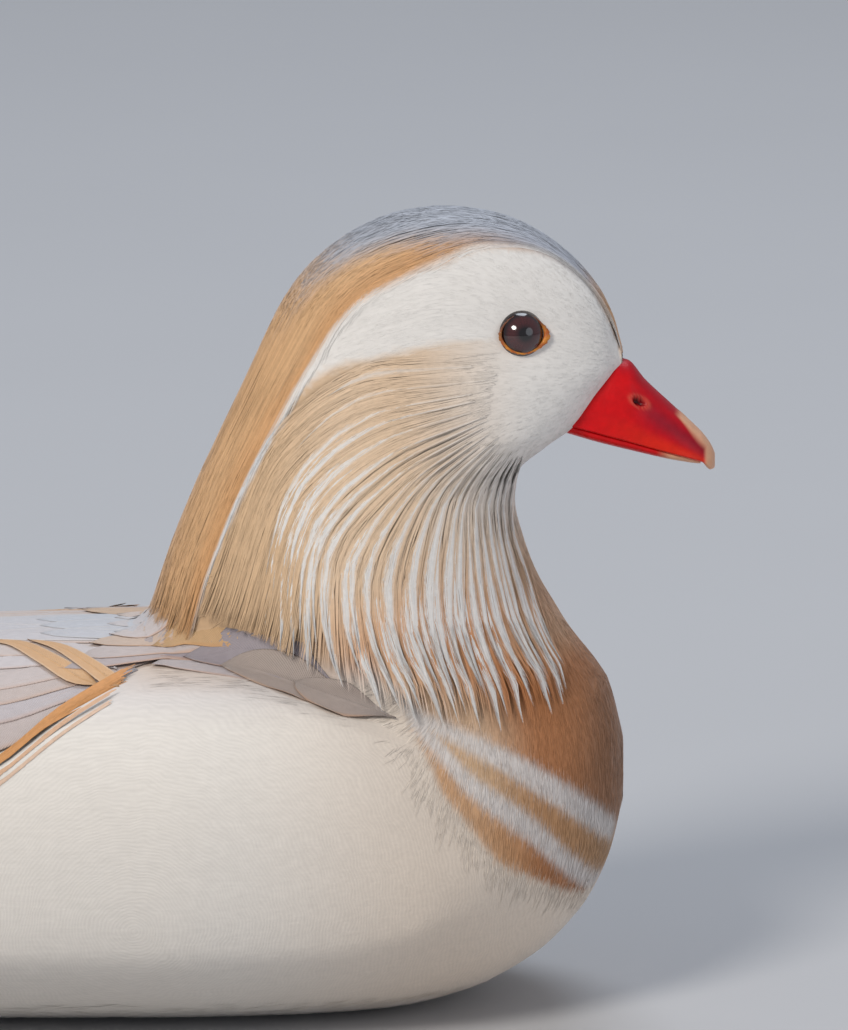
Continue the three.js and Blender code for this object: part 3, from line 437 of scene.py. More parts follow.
# Edge of the crown's long feathers, x, z and y, from the bill back and down to the hem, and x and z of the
# line over them in mid plane.
CROWN_EDGE = [
    [154.2, 143.5, 2], [152, 152.5, 3], [148, 158.6, 4], [143.8, 162.8, 5], [139.5, 165.8, 6.2],
    [132.4, 168.5, 8.8], [124.1, 168.8, 11], [115.9, 166, 13.6], [106.3, 162, 14.8],
    [98.9, 158.2, 14.6], [94.6, 154.2, 14.3], [91.8, 151, 14], [89.4, 147.7, 14], [87.2, 143.6, 14.5],
    [84.6, 139.4, 14.4], [82, 134.7, 14.9], [77.2, 125.9, 16.2], [71.3, 114.1, 18.3],
    [67.4, 104.8, 19.7], [64.6, 97.2, 20.4], [61.8, 88, 22],
]
CROWN_MIDDLE = [
    [155.4, 143], [153.8, 150], [150.3, 156.9], [145.9, 162.4], [140.5, 167.6], [132.9, 172],
    [124.2, 174.4], [115.5, 175], [106.8, 174], [98.1, 170.7], [91.6, 166.4], [85, 160.2],
    [80.7, 153.6], [76.4, 145.8], [72.2, 136.9], [68.2, 128], [64, 119.1], [60, 110.2],
    [56.3, 101.3], [53.5, 92.5], [52.4, 86.9],
]
crown_low = through(sorted([x, z] for x, z, _ in CROWN_EDGE if x < 125))
crown_middle = through(sorted([x, z] for x, z in CROWN_MIDDLE))
crown_wide = through(sorted([x, y] for x, _, y in CROWN_EDGE if x > 100))
eye_stripe_low = through(
    [[60, 88], [77.2, 125.4], [82, 134], [85, 137.7], [89.4, 141], [94.1, 143.7], [101.3, 145.3]]
    + [[106.3, 146.5], [113.5, 148], [124.1, 148.8], [140, 149]]
)
breast_rear = through(
    [[20, 156], [25, 152], [30, 143], [36.3, 133.5], [39.5, 128.9], [44.5, 124.6], [50.9, 120.2]]
    + [[56.8, 115.7], [62, 113.5], [67.2, 110.5], [74, 106], [84, 100]]
)
bar_1 = through(
    [[105, 74], [113.5, 69.7], [122.4, 65.3], [131.3, 60], [137.8, 55.2], [144.6, 49.6], [149.5, 44.6]]
    + [[153, 40], [156, 34]]
)
bar_2 = through(
    [[105, 76], [110.9, 69.4], [116.1, 63.8], [121.1, 58], [128.9, 51.2], [135.7, 45.2], [141, 39]]
    + [[146, 33], [151, 27]]
)


def mix(a, b, share):
    return a + (b - a) * np.asarray(share)[..., None]


def crown_inside(p):
    """About how far inside the edge of the crown's long feathers a point lies."""
    x, y, z = p[..., 0], np.abs(p[..., 1]), p[..., 2]
    side = (z - crown_low(x)) * np.where(x < 84, 0.5, 0.85)
    top = np.where(z > 138, crown_wide(x) - y, -20)
    return np.where(x < 110, side, np.where(x > 116, top, lerp(side, top, (x - 110) / 6)))


def plumage(p):
    """Colour of the plumage at a place on the bird, with painted shade and sky reflection in places, the same
    for skin and coat.
    """
    x, y, z = p[..., 0], np.abs(p[..., 1]), p[..., 2]
    colour = np.broadcast_to(CREAM, p.shape).copy()
    # Body: white below and behind, lilac cream on the back.
    colour = mix(colour, LILAC, 0.6 * smooth(z, 70, 80) * smooth(x, -40, 0))
    colour = mix(colour, BUFF, 0.45 * smooth(x, 66, 122) * smooth(z, 84, 76))
    breast = smooth(x, breast_rear(z) - 0.8, breast_rear(z) + 1) * smooth(z, 22, 30)
    # The breast turns darker towards its front: painted shade.
    tone = mix(BREAST, BREAST_PAINTED_SHADE, smooth(x, 140, 156) * 0.8)
    tone = mix(tone, RUST, 0.35 * smooth(z, 66, 80) * smooth(x, 146, 130))
    over = (z - bar_1(x)) * 0.8
    tone = mix(tone, BUFF, 0.75 * smooth(over, 14, 3) * smooth(x, 138, 122))
    between = np.minimum(smooth(over, 1, -2), smooth(z - bar_2(x), -2, 0))
    tone = mix(tone, TAN, 0.45 * between)
    tone = mix(tone, DEEP_APRICOT, 0.5 * smooth(z - bar_2(x), 0, -3) * smooth(x, 140, 128))
    width_1 = lerp(1.1, 2.5, smooth(x, 112, 146))
    width_2 = lerp(1.3, 2.1, smooth(x, 110, 135))
    bar = np.maximum(
        smooth(np.abs(over), width_1 + 0.9, width_1 - 0.7),
        smooth(np.abs(z - bar_2(x)) * 0.72, width_2 + 0.9, width_2 - 0.7),
    )
    tone = mix(tone, BAR_WHITE, bar * smooth(y, 6, 16) * 0.92)
    colour = mix(colour, tone, breast)
    # Head and neck.
    neck = smooth(z, 76, 84) * smooth(x, 40, 52)
    buff = mix(np.broadcast_to(BUFF, p.shape), TAN, 0.6 * smooth(x, 96, 76))
    buff = mix(buff, BREAST, 0.55 * smooth(z, 112, 88) * smooth(x, 100, 118))
    buff = mix(buff, RUST, 0.4 * smooth(z, 100, 84) * smooth(x, 84, 100) * smooth(x, 136, 124))
    cheek = smooth(x, 104, 137 + 2 * smooth(z, 140, 122)) * smooth(z, 98, 118)
    face = np.maximum(cheek, smooth(z, eye_stripe_low(x) - 1.5, eye_stripe_low(x) + 1))
    head = mix(buff, WHITE, face)
    inside = crown_inside(p)
    crown = mix(np.broadcast_to(APRICOT, p.shape), DEEP_APRICOT, smooth(inside, 6, 0) * 0.6)
    # Along the crown's top the colour turns to painted shade and sky reflection.
    ridge = smooth(crown_middle(x) - z, 6.5, 1.5) * smooth(x, 84, 104) * smooth(x, 154, 146)
    crown = mix(crown, CROWN_SHADE_AND_SKY_REFLECTION, 0.85 * ridge)
    head = mix(head, crown, smooth(inside, -0.6, 0.8))
    stripe_width = 0.75 * smooth(z, 95, 118) * smooth(z, 142, 128)
    stripe = smooth(np.abs(inside + 0.5), stripe_width + 0.45, stripe_width - 0.25) * smooth(z, 97, 106)
    # The white line between crest and nape, its white tinted with painted sky reflection.
    head = mix(head, mix(WHITE, SKY_REFLECTION_WHITE, 0.4), stripe * (z < 141))
    return mix(colour, head, neck)


def unwrap(p):
    """Where a place on the bird lies on its unwrapped skin, head and neck above and body below."""
    x, y, z = p[..., 0], p[..., 1], p[..., 2]
    side = np.where(y < 0, -1, 1)
    on_head = (z > 88) | ((z > 80) & (x > 48))
    head_turn = np.arctan2(np.abs(y), x - 104) / np.pi
    head = [0.5 + 0.48 * side * head_turn, 0.64 + 0.34 * np.clip((z - 78) / 98, 0, 1)]
    body_turn = np.arctan2(np.abs(y), z - 42) / np.pi
    trunk = [0.02 + 0.96 * np.clip((x + 178) / 335, 0, 1), 0.32 + 0.3 * side * body_turn]
    return np.where(on_head[..., None], np.stack(head, -1), np.stack(trunk, -1))


PATCH = 0.003  # side of each small feather's place on the unwrap
TILT, ROUNDING = 0.07, 0.35  # how much strands' shading differs from one to the next, and across each
STRAND_FLOOR = 0.05  # how high the lowest strands lie over the floor


def ring_faces(rows, columns):
    """Faces of four corners over a grid of closed rings."""
    i, j = np.meshgrid(np.arange(rows - 1), np.arange(columns), indexing="ij")
    n = (j + 1) % columns
    corners = [i * columns + j, i * columns + n, (i + 1) * columns + n, (i + 1) * columns + j]
    return np.stack(corners, -1).reshape(-1, 4)


def plate_faces(rows, columns):
    """Faces of a closed plate whose rings of points run over its top and back under it."""
    ends = []
    for row, turned in ((0, True), (rows - 1, False)):
        base = row * 2 * columns
        for j in range(columns - 1):
            quad = [base + j, base + j + 1, base + 2 * columns - 2 - j, base + 2 * columns - 1 - j]
            ends.append(quad[::-1] if turned else quad)
    return np.concatenate([ring_faces(rows, 2 * columns), np.array(ends)])


def there_and_back(top, low=None):
    """What a plate's rings carry, over its top and back under it."""
    return np.concatenate([top, (top if low is None else low)[:, ::-1]], axis=1)


def tube_faces(rows, columns):
    """Faces of a closed tube: four corners round its rings, and three round the middle point at each end."""
    j = np.arange(columns)
    n = (j + 1) % columns
    base = (rows - 1) * columns
    ends = [
        np.stack([n, j, np.full(columns, rows * columns)], -1),
        np.stack([base + j, base + n, np.full(columns, rows * columns + 1)], -1),
    ]
    return ring_faces(rows, columns), np.concatenate(ends)


def with_ends(rings):
    """The points of a tube's rings, or what they carry, and the middle of each end."""
    return np.concatenate([rings.reshape(-1, 3), rings[:1].mean(1), rings[-1:].mean(1)])


def inside_out(vertices, faces):
    """Whether the faces of a closed mesh look inwards, told by the sign of its volume."""
    volume = 0.0
    for f in faces:
        for k in range(2, f.shape[1]):
            a, b, c = vertices[f[:, 0]], vertices[f[:, k - 1]], vertices[f[:, k]]
            volume += dot(a, np.cross(b, c)).sum()
    return volume < 0


def make_piece(name, vertices, faces, material, tint=None, maps=None, normals=None, zones=None):
    """A mesh object from millimetre vertices and lists of faces with the same number of corners each."""
    mesh = bpy.data.meshes.new(name)
    if inside_out(vertices, faces):
        faces = [f[:, ::-1] for f in faces]
    loops = np.concatenate([f.ravel() for f in faces]).astype(np.int32)
    sizes = np.concatenate([np.full(len(f), f.shape[1]) for f in faces])
    starts = np.concatenate([[0], np.cumsum(sizes)[:-1]]).astype(np.int32)
    mesh.vertices.add(len(vertices))
    mesh.vertices.foreach_set("co", (np.asarray(vertices) * MM).astype(np.float32).ravel())
    mesh.loops.add(len(loops))
    mesh.loops.foreach_set("vertex_index", loops)
    mesh.polygons.add(len(starts))
    mesh.polygons.foreach_set("loop_start", starts)
    mesh.update(calc_edges=True)
    for layer_name, values in (("Tint", tint), ("Zones", zones)):
        if values is None:
            continue
        layer = mesh.color_attributes.new(layer_name, "FLOAT_COLOR", "POINT")
        rgba = np.concatenate([values, np.ones((len(values), 1))], axis=1)
        layer.data.foreach_set("color", rgba.astype(np.float32).ravel())
    for map_name, uv in (maps or {}).items():
        layer = mesh.uv_layers.new(name=map_name)
        layer.data.foreach_set("uv", uv[loops].astype(np.float32).ravel())
    mesh.materials.append(material)
    mesh.shade_smooth()
    if normals is not None:
        mesh.normals_split_custom_set_from_vertices(unit(normals).astype(np.float32))
    made = bpy.data.objects.new(name, mesh)
    bpy.context.scene.collection.objects.link(made)
    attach(made, "root")
    return made


def strands(name, centre, normal, half, high, colour, roots, material):
    """Many thin feathers in one mesh, each a flat three-sided strand that tapers to a point."""
    count, k = centre.shape[:2]
    ahead = np.gradient(centre, axis=1)
    across = unit(np.cross(ahead, normal))
    left = centre[:, :-1] - across[:, :-1] * half[:, :-1, None]
    right = centre[:, :-1] + across[:, :-1] * half[:, :-1, None]
    top = centre[:, :-1] + normal[:, :-1] * high[:, :-1, None]
    rings = np.stack([left, right, top], axis=2).reshape(count, 3 * (k - 1), 3)
    vertices = np.concatenate([rings, centre[:, -1:]], axis=1)
    each = 3 * (k - 1) + 1
    quads, tris = [], [[0, 1, 2]]
    for j in range(3):
        n = (j + 1) % 3
        for i in range(k - 2):
            quads.append([3 * i + j, 3 * i + 3 + j, 3 * i + 3 + n, 3 * i + n])
        tris.append([3 * (k - 2) + j, each - 1, 3 * (k - 2) + n])
    offsets = (np.arange(count) * each)[:, None, None]
    faces = [(np.array(part)[None] + offsets).reshape(-1, len(part[0])) for part in (quads, tris)]
    vertices[..., 2] = np.maximum(vertices[..., 2], STRAND_FLOOR)
    tint = np.concatenate([np.repeat(colour[:, :-1], 3, axis=1), colour[:, -1:]], axis=1)
    along = np.concatenate([np.repeat(np.arange(k - 1) / (k - 1), 3), [1]]) - 0.5
    wide = np.concatenate([np.tile([0, 1, 0.5], k - 1), [0.5]]) - 0.5
    local = np.stack([wide, along], -1)[None] * PATCH
    uv = (unwrap(roots)[:, None] + local).reshape(-1, 2)
    # Each strand is shaded much as the surface it lies on, rounded a little across, so that it looks soft.
    level = normal[:, :-1] + TILT * rng.normal(size=(count, 1, 3))
    shading = np.stack([level - ROUNDING * across[:, :-1], level + ROUNDING * across[:, :-1], level], axis=2)
    shading = np.concatenate([shading.reshape(count, -1, 3), level[:, -1:]], axis=1)
    return make_piece(
        name, vertices.reshape(-1, 3), faces, material, tint.reshape(-1, 3), {"OFBake": uv},
        shading.reshape(-1, 3),
    )


def pad(name, top, bottom, material, tint):
    """A closed plate between two grids of points with the same rows and columns, the first outside."""
    grid = there_and_back(top, bottom)
    maps = {"OFBake": unwrap(grid).reshape(-1, 2)}
    tints = there_and_back(tint).reshape(-1, 3)
    return make_piece(name, grid.reshape(-1, 3), [plate_faces(*top.shape[:2])], material, tints, maps)


CLEAR = 0.12  # how high the lowest feathers lie over the skin


class Sheet:
    """A surface given as a grid of points over spans of t and s, with the room that it has over the skin."""

    def __init__(self, points, normals, t_span, s_span):
        self.points, self.normals = points, normals
        self.t_span, self.s_span = t_span, s_span
        self.room = skin_field(points)

    def read(self, grid, t, s):
        """What a grid holds at t and s."""
        rows, columns = grid.shape[:2]
        a = np.clip((t - self.t_span[0]) / (self.t_span[1] - self.t_span[0]), 0, 1) * (rows - 1)
        b = np.clip((s - self.s_span[0]) / (self.s_span[1] - self.s_span[0]), 0, 1) * (columns - 1)
        a, b = np.broadcast_arrays(a, b)
        i, j = np.minimum(a.astype(int), rows - 2), np.minimum(b.astype(int), columns - 2)
        f, g = a - i, b - j
        if grid.ndim == 3:
            f, g = f[..., None], g[..., None]
        low = grid[i, j] * (1 - g) + grid[i, j + 1] * g
        high = grid[i + 1, j] * (1 - g) + grid[i + 1, j + 1] * g
        return low * (1 - f) + high * f

    def at(self, t, s, lift, clear=CLEAR):
        """Points at a height over the surface, but not under the skin, and the surface's normals there."""
        normal = unit(self.read(self.normals, t, s))
        lift = np.maximum(lift, clear - self.read(self.room, t, s))
        return self.read(self.points, t, s) + normal * lift[..., None], normal


def mirrored(p, side):
    return p * np.array([1, side, 1])


def bezier(a, b, c, s):
    return (1 - s) ** 2 * a + 2 * s * (1 - s) * b + s * s * c


def noise_of(shape, amount):
    """Random shares about 1."""
    return 1 + amount * rng.uniform(-1, 1, shape)


def node(tree, kind, inputs=None, **settings):
    """A new node, each of its inputs linked to another node's output or set to a value."""
    made = tree.nodes.new(kind)
    for key, value in settings.items():
        setattr(made, key, value)
    for key, value in (inputs or {}).items():
        if isinstance(value, bpy.types.NodeSocket):
            tree.links.new(value, made.inputs[key])
        else:
            made.inputs[key].default_value = value
    return made


def attribute(tree, name):
    return node(tree, "ShaderNodeAttribute", attribute_name=name).outputs["Color"]


def place_of(tree):
    return node(tree, "ShaderNodeTexCoord").outputs["Object"]


def noise_at(tree, vector, scale, detail):
    inputs = {"Vector": vector, "Scale": scale, "Detail": detail}
    return node(tree, "ShaderNodeTexNoise", inputs).outputs["Fac"]


def maths(tree, operation, *values):
    return node(tree, "ShaderNodeMath", dict(enumerate(values)), operation=operation).outputs[0]


def multiplied(tree, colour, share):
    vector = node(tree, "ShaderNodeCombineXYZ", {"X": share, "Y": share, "Z": share}).outputs[0]
    return node(tree, "ShaderNodeVectorMath", {0: colour, 1: vector}, operation="MULTIPLY").outputs[0]


def shaded(tree, colour, noise, low, high, noise_low=0.3, noise_high=0.7):
    """The colour times a share from low to high, which rises with a noise."""
    inputs = {"Value": noise, "From Min": noise_low, "From Max": noise_high, "To Min": low, "To Max": high}
    return multiplied(tree, colour, node(tree, "ShaderNodeMapRange", inputs).outputs["Result"])


def varied(tree, colour, vector, scale, amount):
    """The colour, lighter and darker in a fine noise."""
    return shaded(tree, colour, noise_at(tree, vector, scale, 3.0), 1 - amount, 1 + amount)


def surface(name, roughness=0.6, specular=0.3, sheen=0.0, coat=0.0, subsurface=0.0):
    """A material with its tree, its shader and the tint that the mesh carries."""
    material = bpy.data.materials.new(name)
    material.use_nodes = True
    tree = material.node_tree
    shader = tree.nodes["Principled BSDF"]
    settings = {
        "Roughness": roughness, "Specular IOR Level": specular,
        "Sheen Weight": sheen, "Sheen Roughness": 0.35,
        "Coat Weight": coat, "Coat Roughness": 0.04,
    }
    if subsurface:
        settings["Subsurface Weight"] = subsurface
        settings["Subsurface Radius"] = (1.0, 0.45, 0.3)
        settings["Subsurface Scale"] = 0.0015
    for key, value in settings.items():
        shader.inputs[key].default_value = value
    return material, tree, shader, attribute(tree, "Tint")


def dressed(tree, shader, colour, height, distance, strength=1.0):
    """Gives a shader its colour and its fine relief, whose distance is in metres."""
    bump = node(tree, "ShaderNodeBump", {"Height": height, "Distance": distance, "Strength": strength})
    tree.links.new(colour, shader.inputs["Base Color"])
    tree.links.new(bump.outputs["Normal"], shader.inputs["Normal"])


def fine_lines(tree, place):
    """Height, from 0 to 1, of the fine wavy cross lines on a flank, which run round its middle."""
    centred = node(tree, "ShaderNodeMapping", {"Vector": place, "Location": (-0.05, 0, -0.03)}).outputs[0]
    inputs = {"Vector": centred, "Scale": 400.0, "Distortion": 18.0, "Detail": 2.0, "Detail Scale": 0.3}
    return node(tree, "ShaderNodeTexWave", inputs, wave_type="RINGS", rings_direction="Y").outputs["Fac"]


LINE_DARKNESS = 0.045


def lined(tree, colour, height, share):
    """The colour, a little darker on the fine lines where share is 1."""
    dark = maths(tree, "MULTIPLY", maths(tree, "MULTIPLY", height, LINE_DARKNESS), share)
    return multiplied(tree, colour, maths(tree, "SUBTRACT", 1.0, dark))


def streaks(tree, place, turn):
    """Noise drawn out along a direction in the plane of length and height, at an angle under level."""
    inputs = {"Vector": place, "Rotation": (0, turn, 0), "Scale": (130.0, 1500.0, 1500.0)}
    return noise_at(tree, node(tree, "ShaderNodeMapping", inputs).outputs[0], 1.0, 3.0)


def feather_material(name, roughness=0.62, sheen=0.25, amount=0.05, specular=0.25, vermiculated=False):
    """Small feathers, with or without the flank's fine lines."""
    material, tree, shader, tint = surface(name, roughness, specular, sheen)
    place = place_of(tree)
    colour = varied(tree, tint, place, 900.0, amount)
    if vermiculated:
        colour = lined(tree, colour, fine_lines(tree, place), 1.0)
    dressed(tree, shader, colour, noise_at(tree, place, 2600.0, 2.0), 0.00003)
    return material


def skin_material():
    """Dense short plumage, drawn out along its lie, with fine wavy cross lines on the flanks."""
    material, tree, shader, tint = surface("short_plumage", 0.6, 0.25, 0.3)
    place = place_of(tree)
    zones = node(tree, "ShaderNodeSeparateColor", {"Color": attribute(tree, "Zones")})
    falling, flank = zones.outputs["Red"], zones.outputs["Green"]
    lies = {"Factor": falling, "A": streaks(tree, place, -0.45), "B": streaks(tree, place, -1.35)}
    lie = node(tree, "ShaderNodeMix", lies).outputs["Result"]
    waves = fine_lines(tree, place)
    colour = lined(tree, varied(tree, tint, place, 420.0, 0.02), waves, flank)
    colour = shaded(tree, colour, lie, 0.97, 1.025)
    height = maths(tree, "MULTIPLY_ADD", maths(tree, "MULTIPLY", waves, flank), 0.3, lie)
    dressed(tree, shader, colour, height, 0.00007)
    return material


def vane_material(name, sheen=0.2, roughness=0.5):
    """A feather's web: fine slanted barbs each side of its shaft, from its own flat map in millimetres."""
    material, tree, shader, tint = surface(name, roughness, 0.35, sheen)
    flat = node(tree, "ShaderNodeUVMap", uv_map="Vane").outputs["UV"]
    parts = node(tree, "ShaderNodeSeparateXYZ", {"Vector": flat})
    out = maths(tree, "ABSOLUTE", parts.outputs["X"])
    slant = maths(tree, "MULTIPLY_ADD", out, -1.5, parts.outputs["Y"])
    ridge = maths(tree, "SINE", maths(tree, "MULTIPLY", slant, 9.0))
    height = maths(tree, "MULTIPLY_ADD", ridge, 0.4, noise_at(tree, flat, 0.8, 3.0))
    dressed(tree, shader, varied(tree, tint, flat, 0.5, 0.04), height, 0.0001, 0.7)
    return material


def horn_material(name, roughness, coat, scale, depth, subsurface=0.1, amount=0.08, specular=0.5):
    """Bare horn or skin: waxy, mottled and finely pitted."""
    material, tree, shader, tint = surface(name, roughness, specular, 0.0, coat, subsurface)
    place = place_of(tree)
    mottled = varied(tree, tint, place, scale * 0.4, amount)
    dressed(tree, shader, mottled, noise_at(tree, place, scale, 4.0), depth)
    return material


def scale_material():
    """Skin of the legs: small scales."""
    material, tree, shader, tint = surface("leg_scales", 0.45, 0.45, 0.0, 0.15, 0.1)
    place = place_of(tree)
    cells = node(tree, "ShaderNodeTexVoronoi", {"Vector": place, "Scale": 900.0}, feature="DISTANCE_TO_EDGE")
    dressed(tree, shader, varied(tree, tint, place, 300.0, 0.1), cells.outputs["Distance"], 0.0002)
    return material


# Skin of head, neck, body and rump in one surface, flat where it rests on the floor.
SKIN_BOX = (-142, -70, -2.5), (161, 70, 180)
SKIN_CELL = 1.5
skin_points, skin_faces = isosurface(skin_field, *SKIN_BOX, SKIN_CELL)
for _ in range(2):
    slope = gradient(skin_field, skin_points)
    reach = skin_field(skin_points) / np.maximum(dot(slope, slope), 0.3)
    skin_points = skin_points - slope * np.clip(reach, -0.5, 0.5)[:, None]
skin_normals = unit(gradient(skin_field, skin_points, 0.4))


def skin_zones(p):
    """Where the short feathers fall down the breast, and where they carry the flank's fine lines."""
    x, z = p[..., 0], p[..., 2]
    falling = smooth(x, breast_rear(z) - 2, breast_rear(z) + 4) * smooth(z, 118, 108)
    flank = smooth(x, breast_rear(z) + 1, breast_rear(z) - 4) * smooth(z, FLANK_TOP(x) + 1, FLANK_TOP(x) - 3)
    return np.stack([falling, flank * smooth(x, -70, -50), 0 * x], -1)


skin = make_piece(
    "skin", skin_points, [skin_faces], skin_material(), plumage(skin_points),
    {"OFBake": unwrap(skin_points)}, skin_normals, skin_zones(skin_points),
)
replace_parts(skin, "torso", "neck", "head")


def scattered(count, density):
    """Random places on the skin, more of them where density, from 0 to 1, is high."""
    a, b, c, d = (skin_points[skin_faces[:, k]] for k in range(4))
    area = np.linalg.norm(np.cross(c - a, d - b), axis=1) / 2
    weight = area * density((a + c) / 2)
    face = rng.choice(len(area), count, p=weight / weight.sum())
    f, g = rng.random((2, count, 1))
    ids = skin_faces[face]

    def read(grid):
        low = lerp(grid[ids[:, 0]], grid[ids[:, 1]], f)
        high = lerp(grid[ids[:, 3]], grid[ids[:, 2]], f)
        return lerp(low, high, g)

    return read(skin_points), unit(read(skin_normals))


def flow(p):
    """Which way the short feathers lie: back over the head and body, and down the breast."""
    x, y, z = p[..., 0], p[..., 1], p[..., 2]
    face = smooth(z, 116, 126) * smooth(x, 88, 104)
    front = smooth(x, 92, 128) * smooth(z, 14, 34) * (1 - face)
    lie = np.stack([np.full_like(x, -1), np.zeros_like(x), np.full_like(x, -0.5)], -1)
    down = np.stack([np.full_like(x, -0.12), 0.12 * np.sign(y), np.full_like(x, -1)], -1)
    # On the face they fan out from the bill, up over the crown's edge and down over the cheek.
    rise = np.clip((z - 141) / 26, -1, 1) * smooth(x, 110, 138) - 0.42 * smooth(x, 128, 108)
    back = np.stack([np.full_like(x, -1), 0.15 * np.sign(y), rise], -1)
    return lerp(lerp(lie, down, front[..., None]), back, face[..., None])


EYE_RING = (0.3, 5.1, 4.25)  # how far ahead of the eye's middle the ring's is, and its half length and height
BILL_ROOT, BILL_MARGIN = 146, 1.02


def kept_out(p):
    """Where no feather may lie: over the eye and its ring, and over the bill."""
    x, z = p[..., 0], p[..., 2]
    eye = np.hypot((x - EYE_X - EYE_RING[0]) / EYE_RING[1], (z - EYE_Z) / EYE_RING[2]) < 1
    bill = (bill_upper.radius(p) < BILL_MARGIN) | (bill_lower.radius(p) < BILL_MARGIN)
    return eye | (bill & (x > BILL_ROOT))


ROOT_DEPTH = -0.12  # height of the short feathers' roots over the skin


def tufts(name, count, density, length, half, high, lift, material, spread, shade):
    """Short feathers over the skin where density says. length is in millimetres, or a function of place."""
    root, normal = scattered(count, density)
    way = flow(root) + spread * rng.normal(size=(count, 3))
    way = unit(way - normal * dot(way, normal)[:, None])
    size = (length(root) if callable(length) else length) * rng.uniform(0.75, 1.2, count)
    s = np.linspace(0, 1, 3)
    centre = root[:, None] + way[:, None] * (size[:, None] * s)[..., None]
    goal = lerp(ROOT_DEPTH, lift, np.sin(s * np.pi * 0.62)[None])
    centre = raised(centre, normal[:, None], goal, skin_field, 2, 2)
    free = ~kept_out(centre).any(axis=1)
    centre, root, normal, count = centre[free], root[free], normal[free], int(free.sum())
    wide = np.broadcast_to(half * (1 - 0.45 * s**2), centre.shape[:2])
    normals = np.broadcast_to(normal[:, None], centre.shape)
    colour = plumage(centre) * noise_of((count, 1, 1), shade) * lerp(0.97, 1.03, s)[None, :, None]
    return strands(name, centre, normals, wide, wide * 0 + high, colour, root, material)


short_feathers = feather_material("short_feathers")
flank_feathers = feather_material("flank_feathers", 0.55, 0.3, 0.03, 0.3, vermiculated=True)
long_feathers = feather_material("long_feathers", 0.5, 0.35, 0.04, 0.3)


def face_density(p):
    region = smooth(p[..., 0], 88, 104) * (p[..., 2] > 112)
    ahead = np.maximum(smooth(below_stripe(p), 14, 4), smooth(p[..., 0], 110, 122))
    return region * np.where(crown_inside(p) > 1.5, 0.15, 1) * ahead


def face_length(p):
    return lerp(2.4, 5.0, smooth(p[..., 0], 140, 108))


tufts(
    "face_coat", 9500, face_density, face_length, 0.09, 0.02, 0.045, short_feathers,
    0.06, 0.015,
)


def breast_density(p):
    x, z = p[..., 0], p[..., 2]
    front = smooth(x, breast_rear(z) - 6, breast_rear(z) + 1)
    return front * smooth(z, 114, 104) * smooth(z, 14, 24) * (x > 98)


tufts(
    "breast_coat", 15000, breast_density, 5.5, 0.12, 0.04, 0.14, short_feathers,
    0.07, 0.06,
)


def side_density(side):
    def density(p):
        x, y, z = p[..., 0], p[..., 1], p[..., 2]
        flank = smooth(x, breast_rear(z) + 2, breast_rear(z) - 1) * (z < FLANK_TOP(x) + 2) * (z > 5)
        border = (z > FLANK_TOP(x) - 9) & (x < 56)
        return flank * (y * side > 0) * (x > -75) * ~border
    return density


for word, side in SIDES:
    coat = tufts(
        f"flank_coat_{word}", 3500, side_density(side), 5.0, 0.07, 0.015, 0.02,
        flank_feathers, 0.05, 0.01,
    )
    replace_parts(coat, f"flank_{word}")


def rest_density(p):
    x, z = p[..., 0], p[..., 2]
    under = (z <= 9) * (z > 0.6) * 0.45
    back = (z > FLANK_TOP(x)) * (x < 108) * (z < 100) * 0.6
    rear = (x < -62) * 1.0
    return np.maximum(np.maximum(under, back), rear)


tufts("body_coat", 8000, rest_density, 7.0, 0.22, 0.05, 0.16, short_feathers, 0.1, 0.03)

# Ruff and nape: lines from the cheek back and down over the side of the neck, as x and z. Each row has the
# line's distance round the neck at mid length, then four places along it.
HACKLE_LINES = [
    [0, (134, 122), (131.7, 109), (136, 94.5), (142.6, 74)],
    [12, (132, 124), (127.3, 112), (130.5, 93.5), (139.6, 68.5)],
    [20.5, (130.5, 125.5), (123, 112.5), (124.5, 94), (132, 67.5)],
    [29, (129, 127), (119, 113.4), (117.5, 95), (123.6, 66)],
    [39, (128, 128.5), (113, 114.5), (108, 95.5), (113.8, 68.5)],
    [48.5, (127, 130), (108.5, 117), (98.5, 98), (102, 72)],
    [59, (126.5, 132), (105, 121.5), (90, 104.5), (87.8, 79)],
    [66.5, (126.5, 134), (103.5, 126), (86.5, 110), (80.8, 84)],
    [73, (127, 136.3), (103, 130), (84, 115), (75.3, 86.5)],
    [79, (127.5, 138.8), (102.5, 134.5), (82, 120), (70.3, 87.8)],
    [87.5, (128.5, 142.6), (103, 141), (80.5, 127), (65.5, 88.5)],
    [90.5, (129, 146.5), (103.5, 145), (80, 129.5), (62.5, 89)],
]
RUFF_END = 84  # behind this line the nape's finer feathers begin
NAPE_END = 90.5
HACKLE_SPAN = (-0.08, 1.08)


def hackle_sheet():
    """The surface under the feathers of ruff and nape: t runs round the neck and s along the lines."""
    t, s = np.meshgrid(np.linspace(0, NAPE_END, 121), np.linspace(*HACKLE_SPAN, 71), indexing="ij")
    at = [row[0] for row in HACKLE_LINES]
    held = np.clip(s[0], 0, 1)
    flat = []
    for k in (0, 1):
        # Past both ends each line runs on straight.
        lines = [along_rows(row[1:], k)(s[0]) for row in HACKLE_LINES]
        grid = np.stack([line + np.gradient(line, s[0]) * (s[0] - held) for line in lines])
        flat.append(np.stack([through(list(zip(at, column)))(t[:, 0]) for column in grid.T], -1))
    x, z = flat
    y = np.maximum(np.maximum(plume.width(z, x), body.width(x, z) * (z < 82)), 5)
    points, normals = settled(np.stack([x, y, z], -1), 0, coat_field, 9)
    return Sheet(points, normals, (0, NAPE_END), HACKLE_SPAN)


hackle = hackle_sheet()
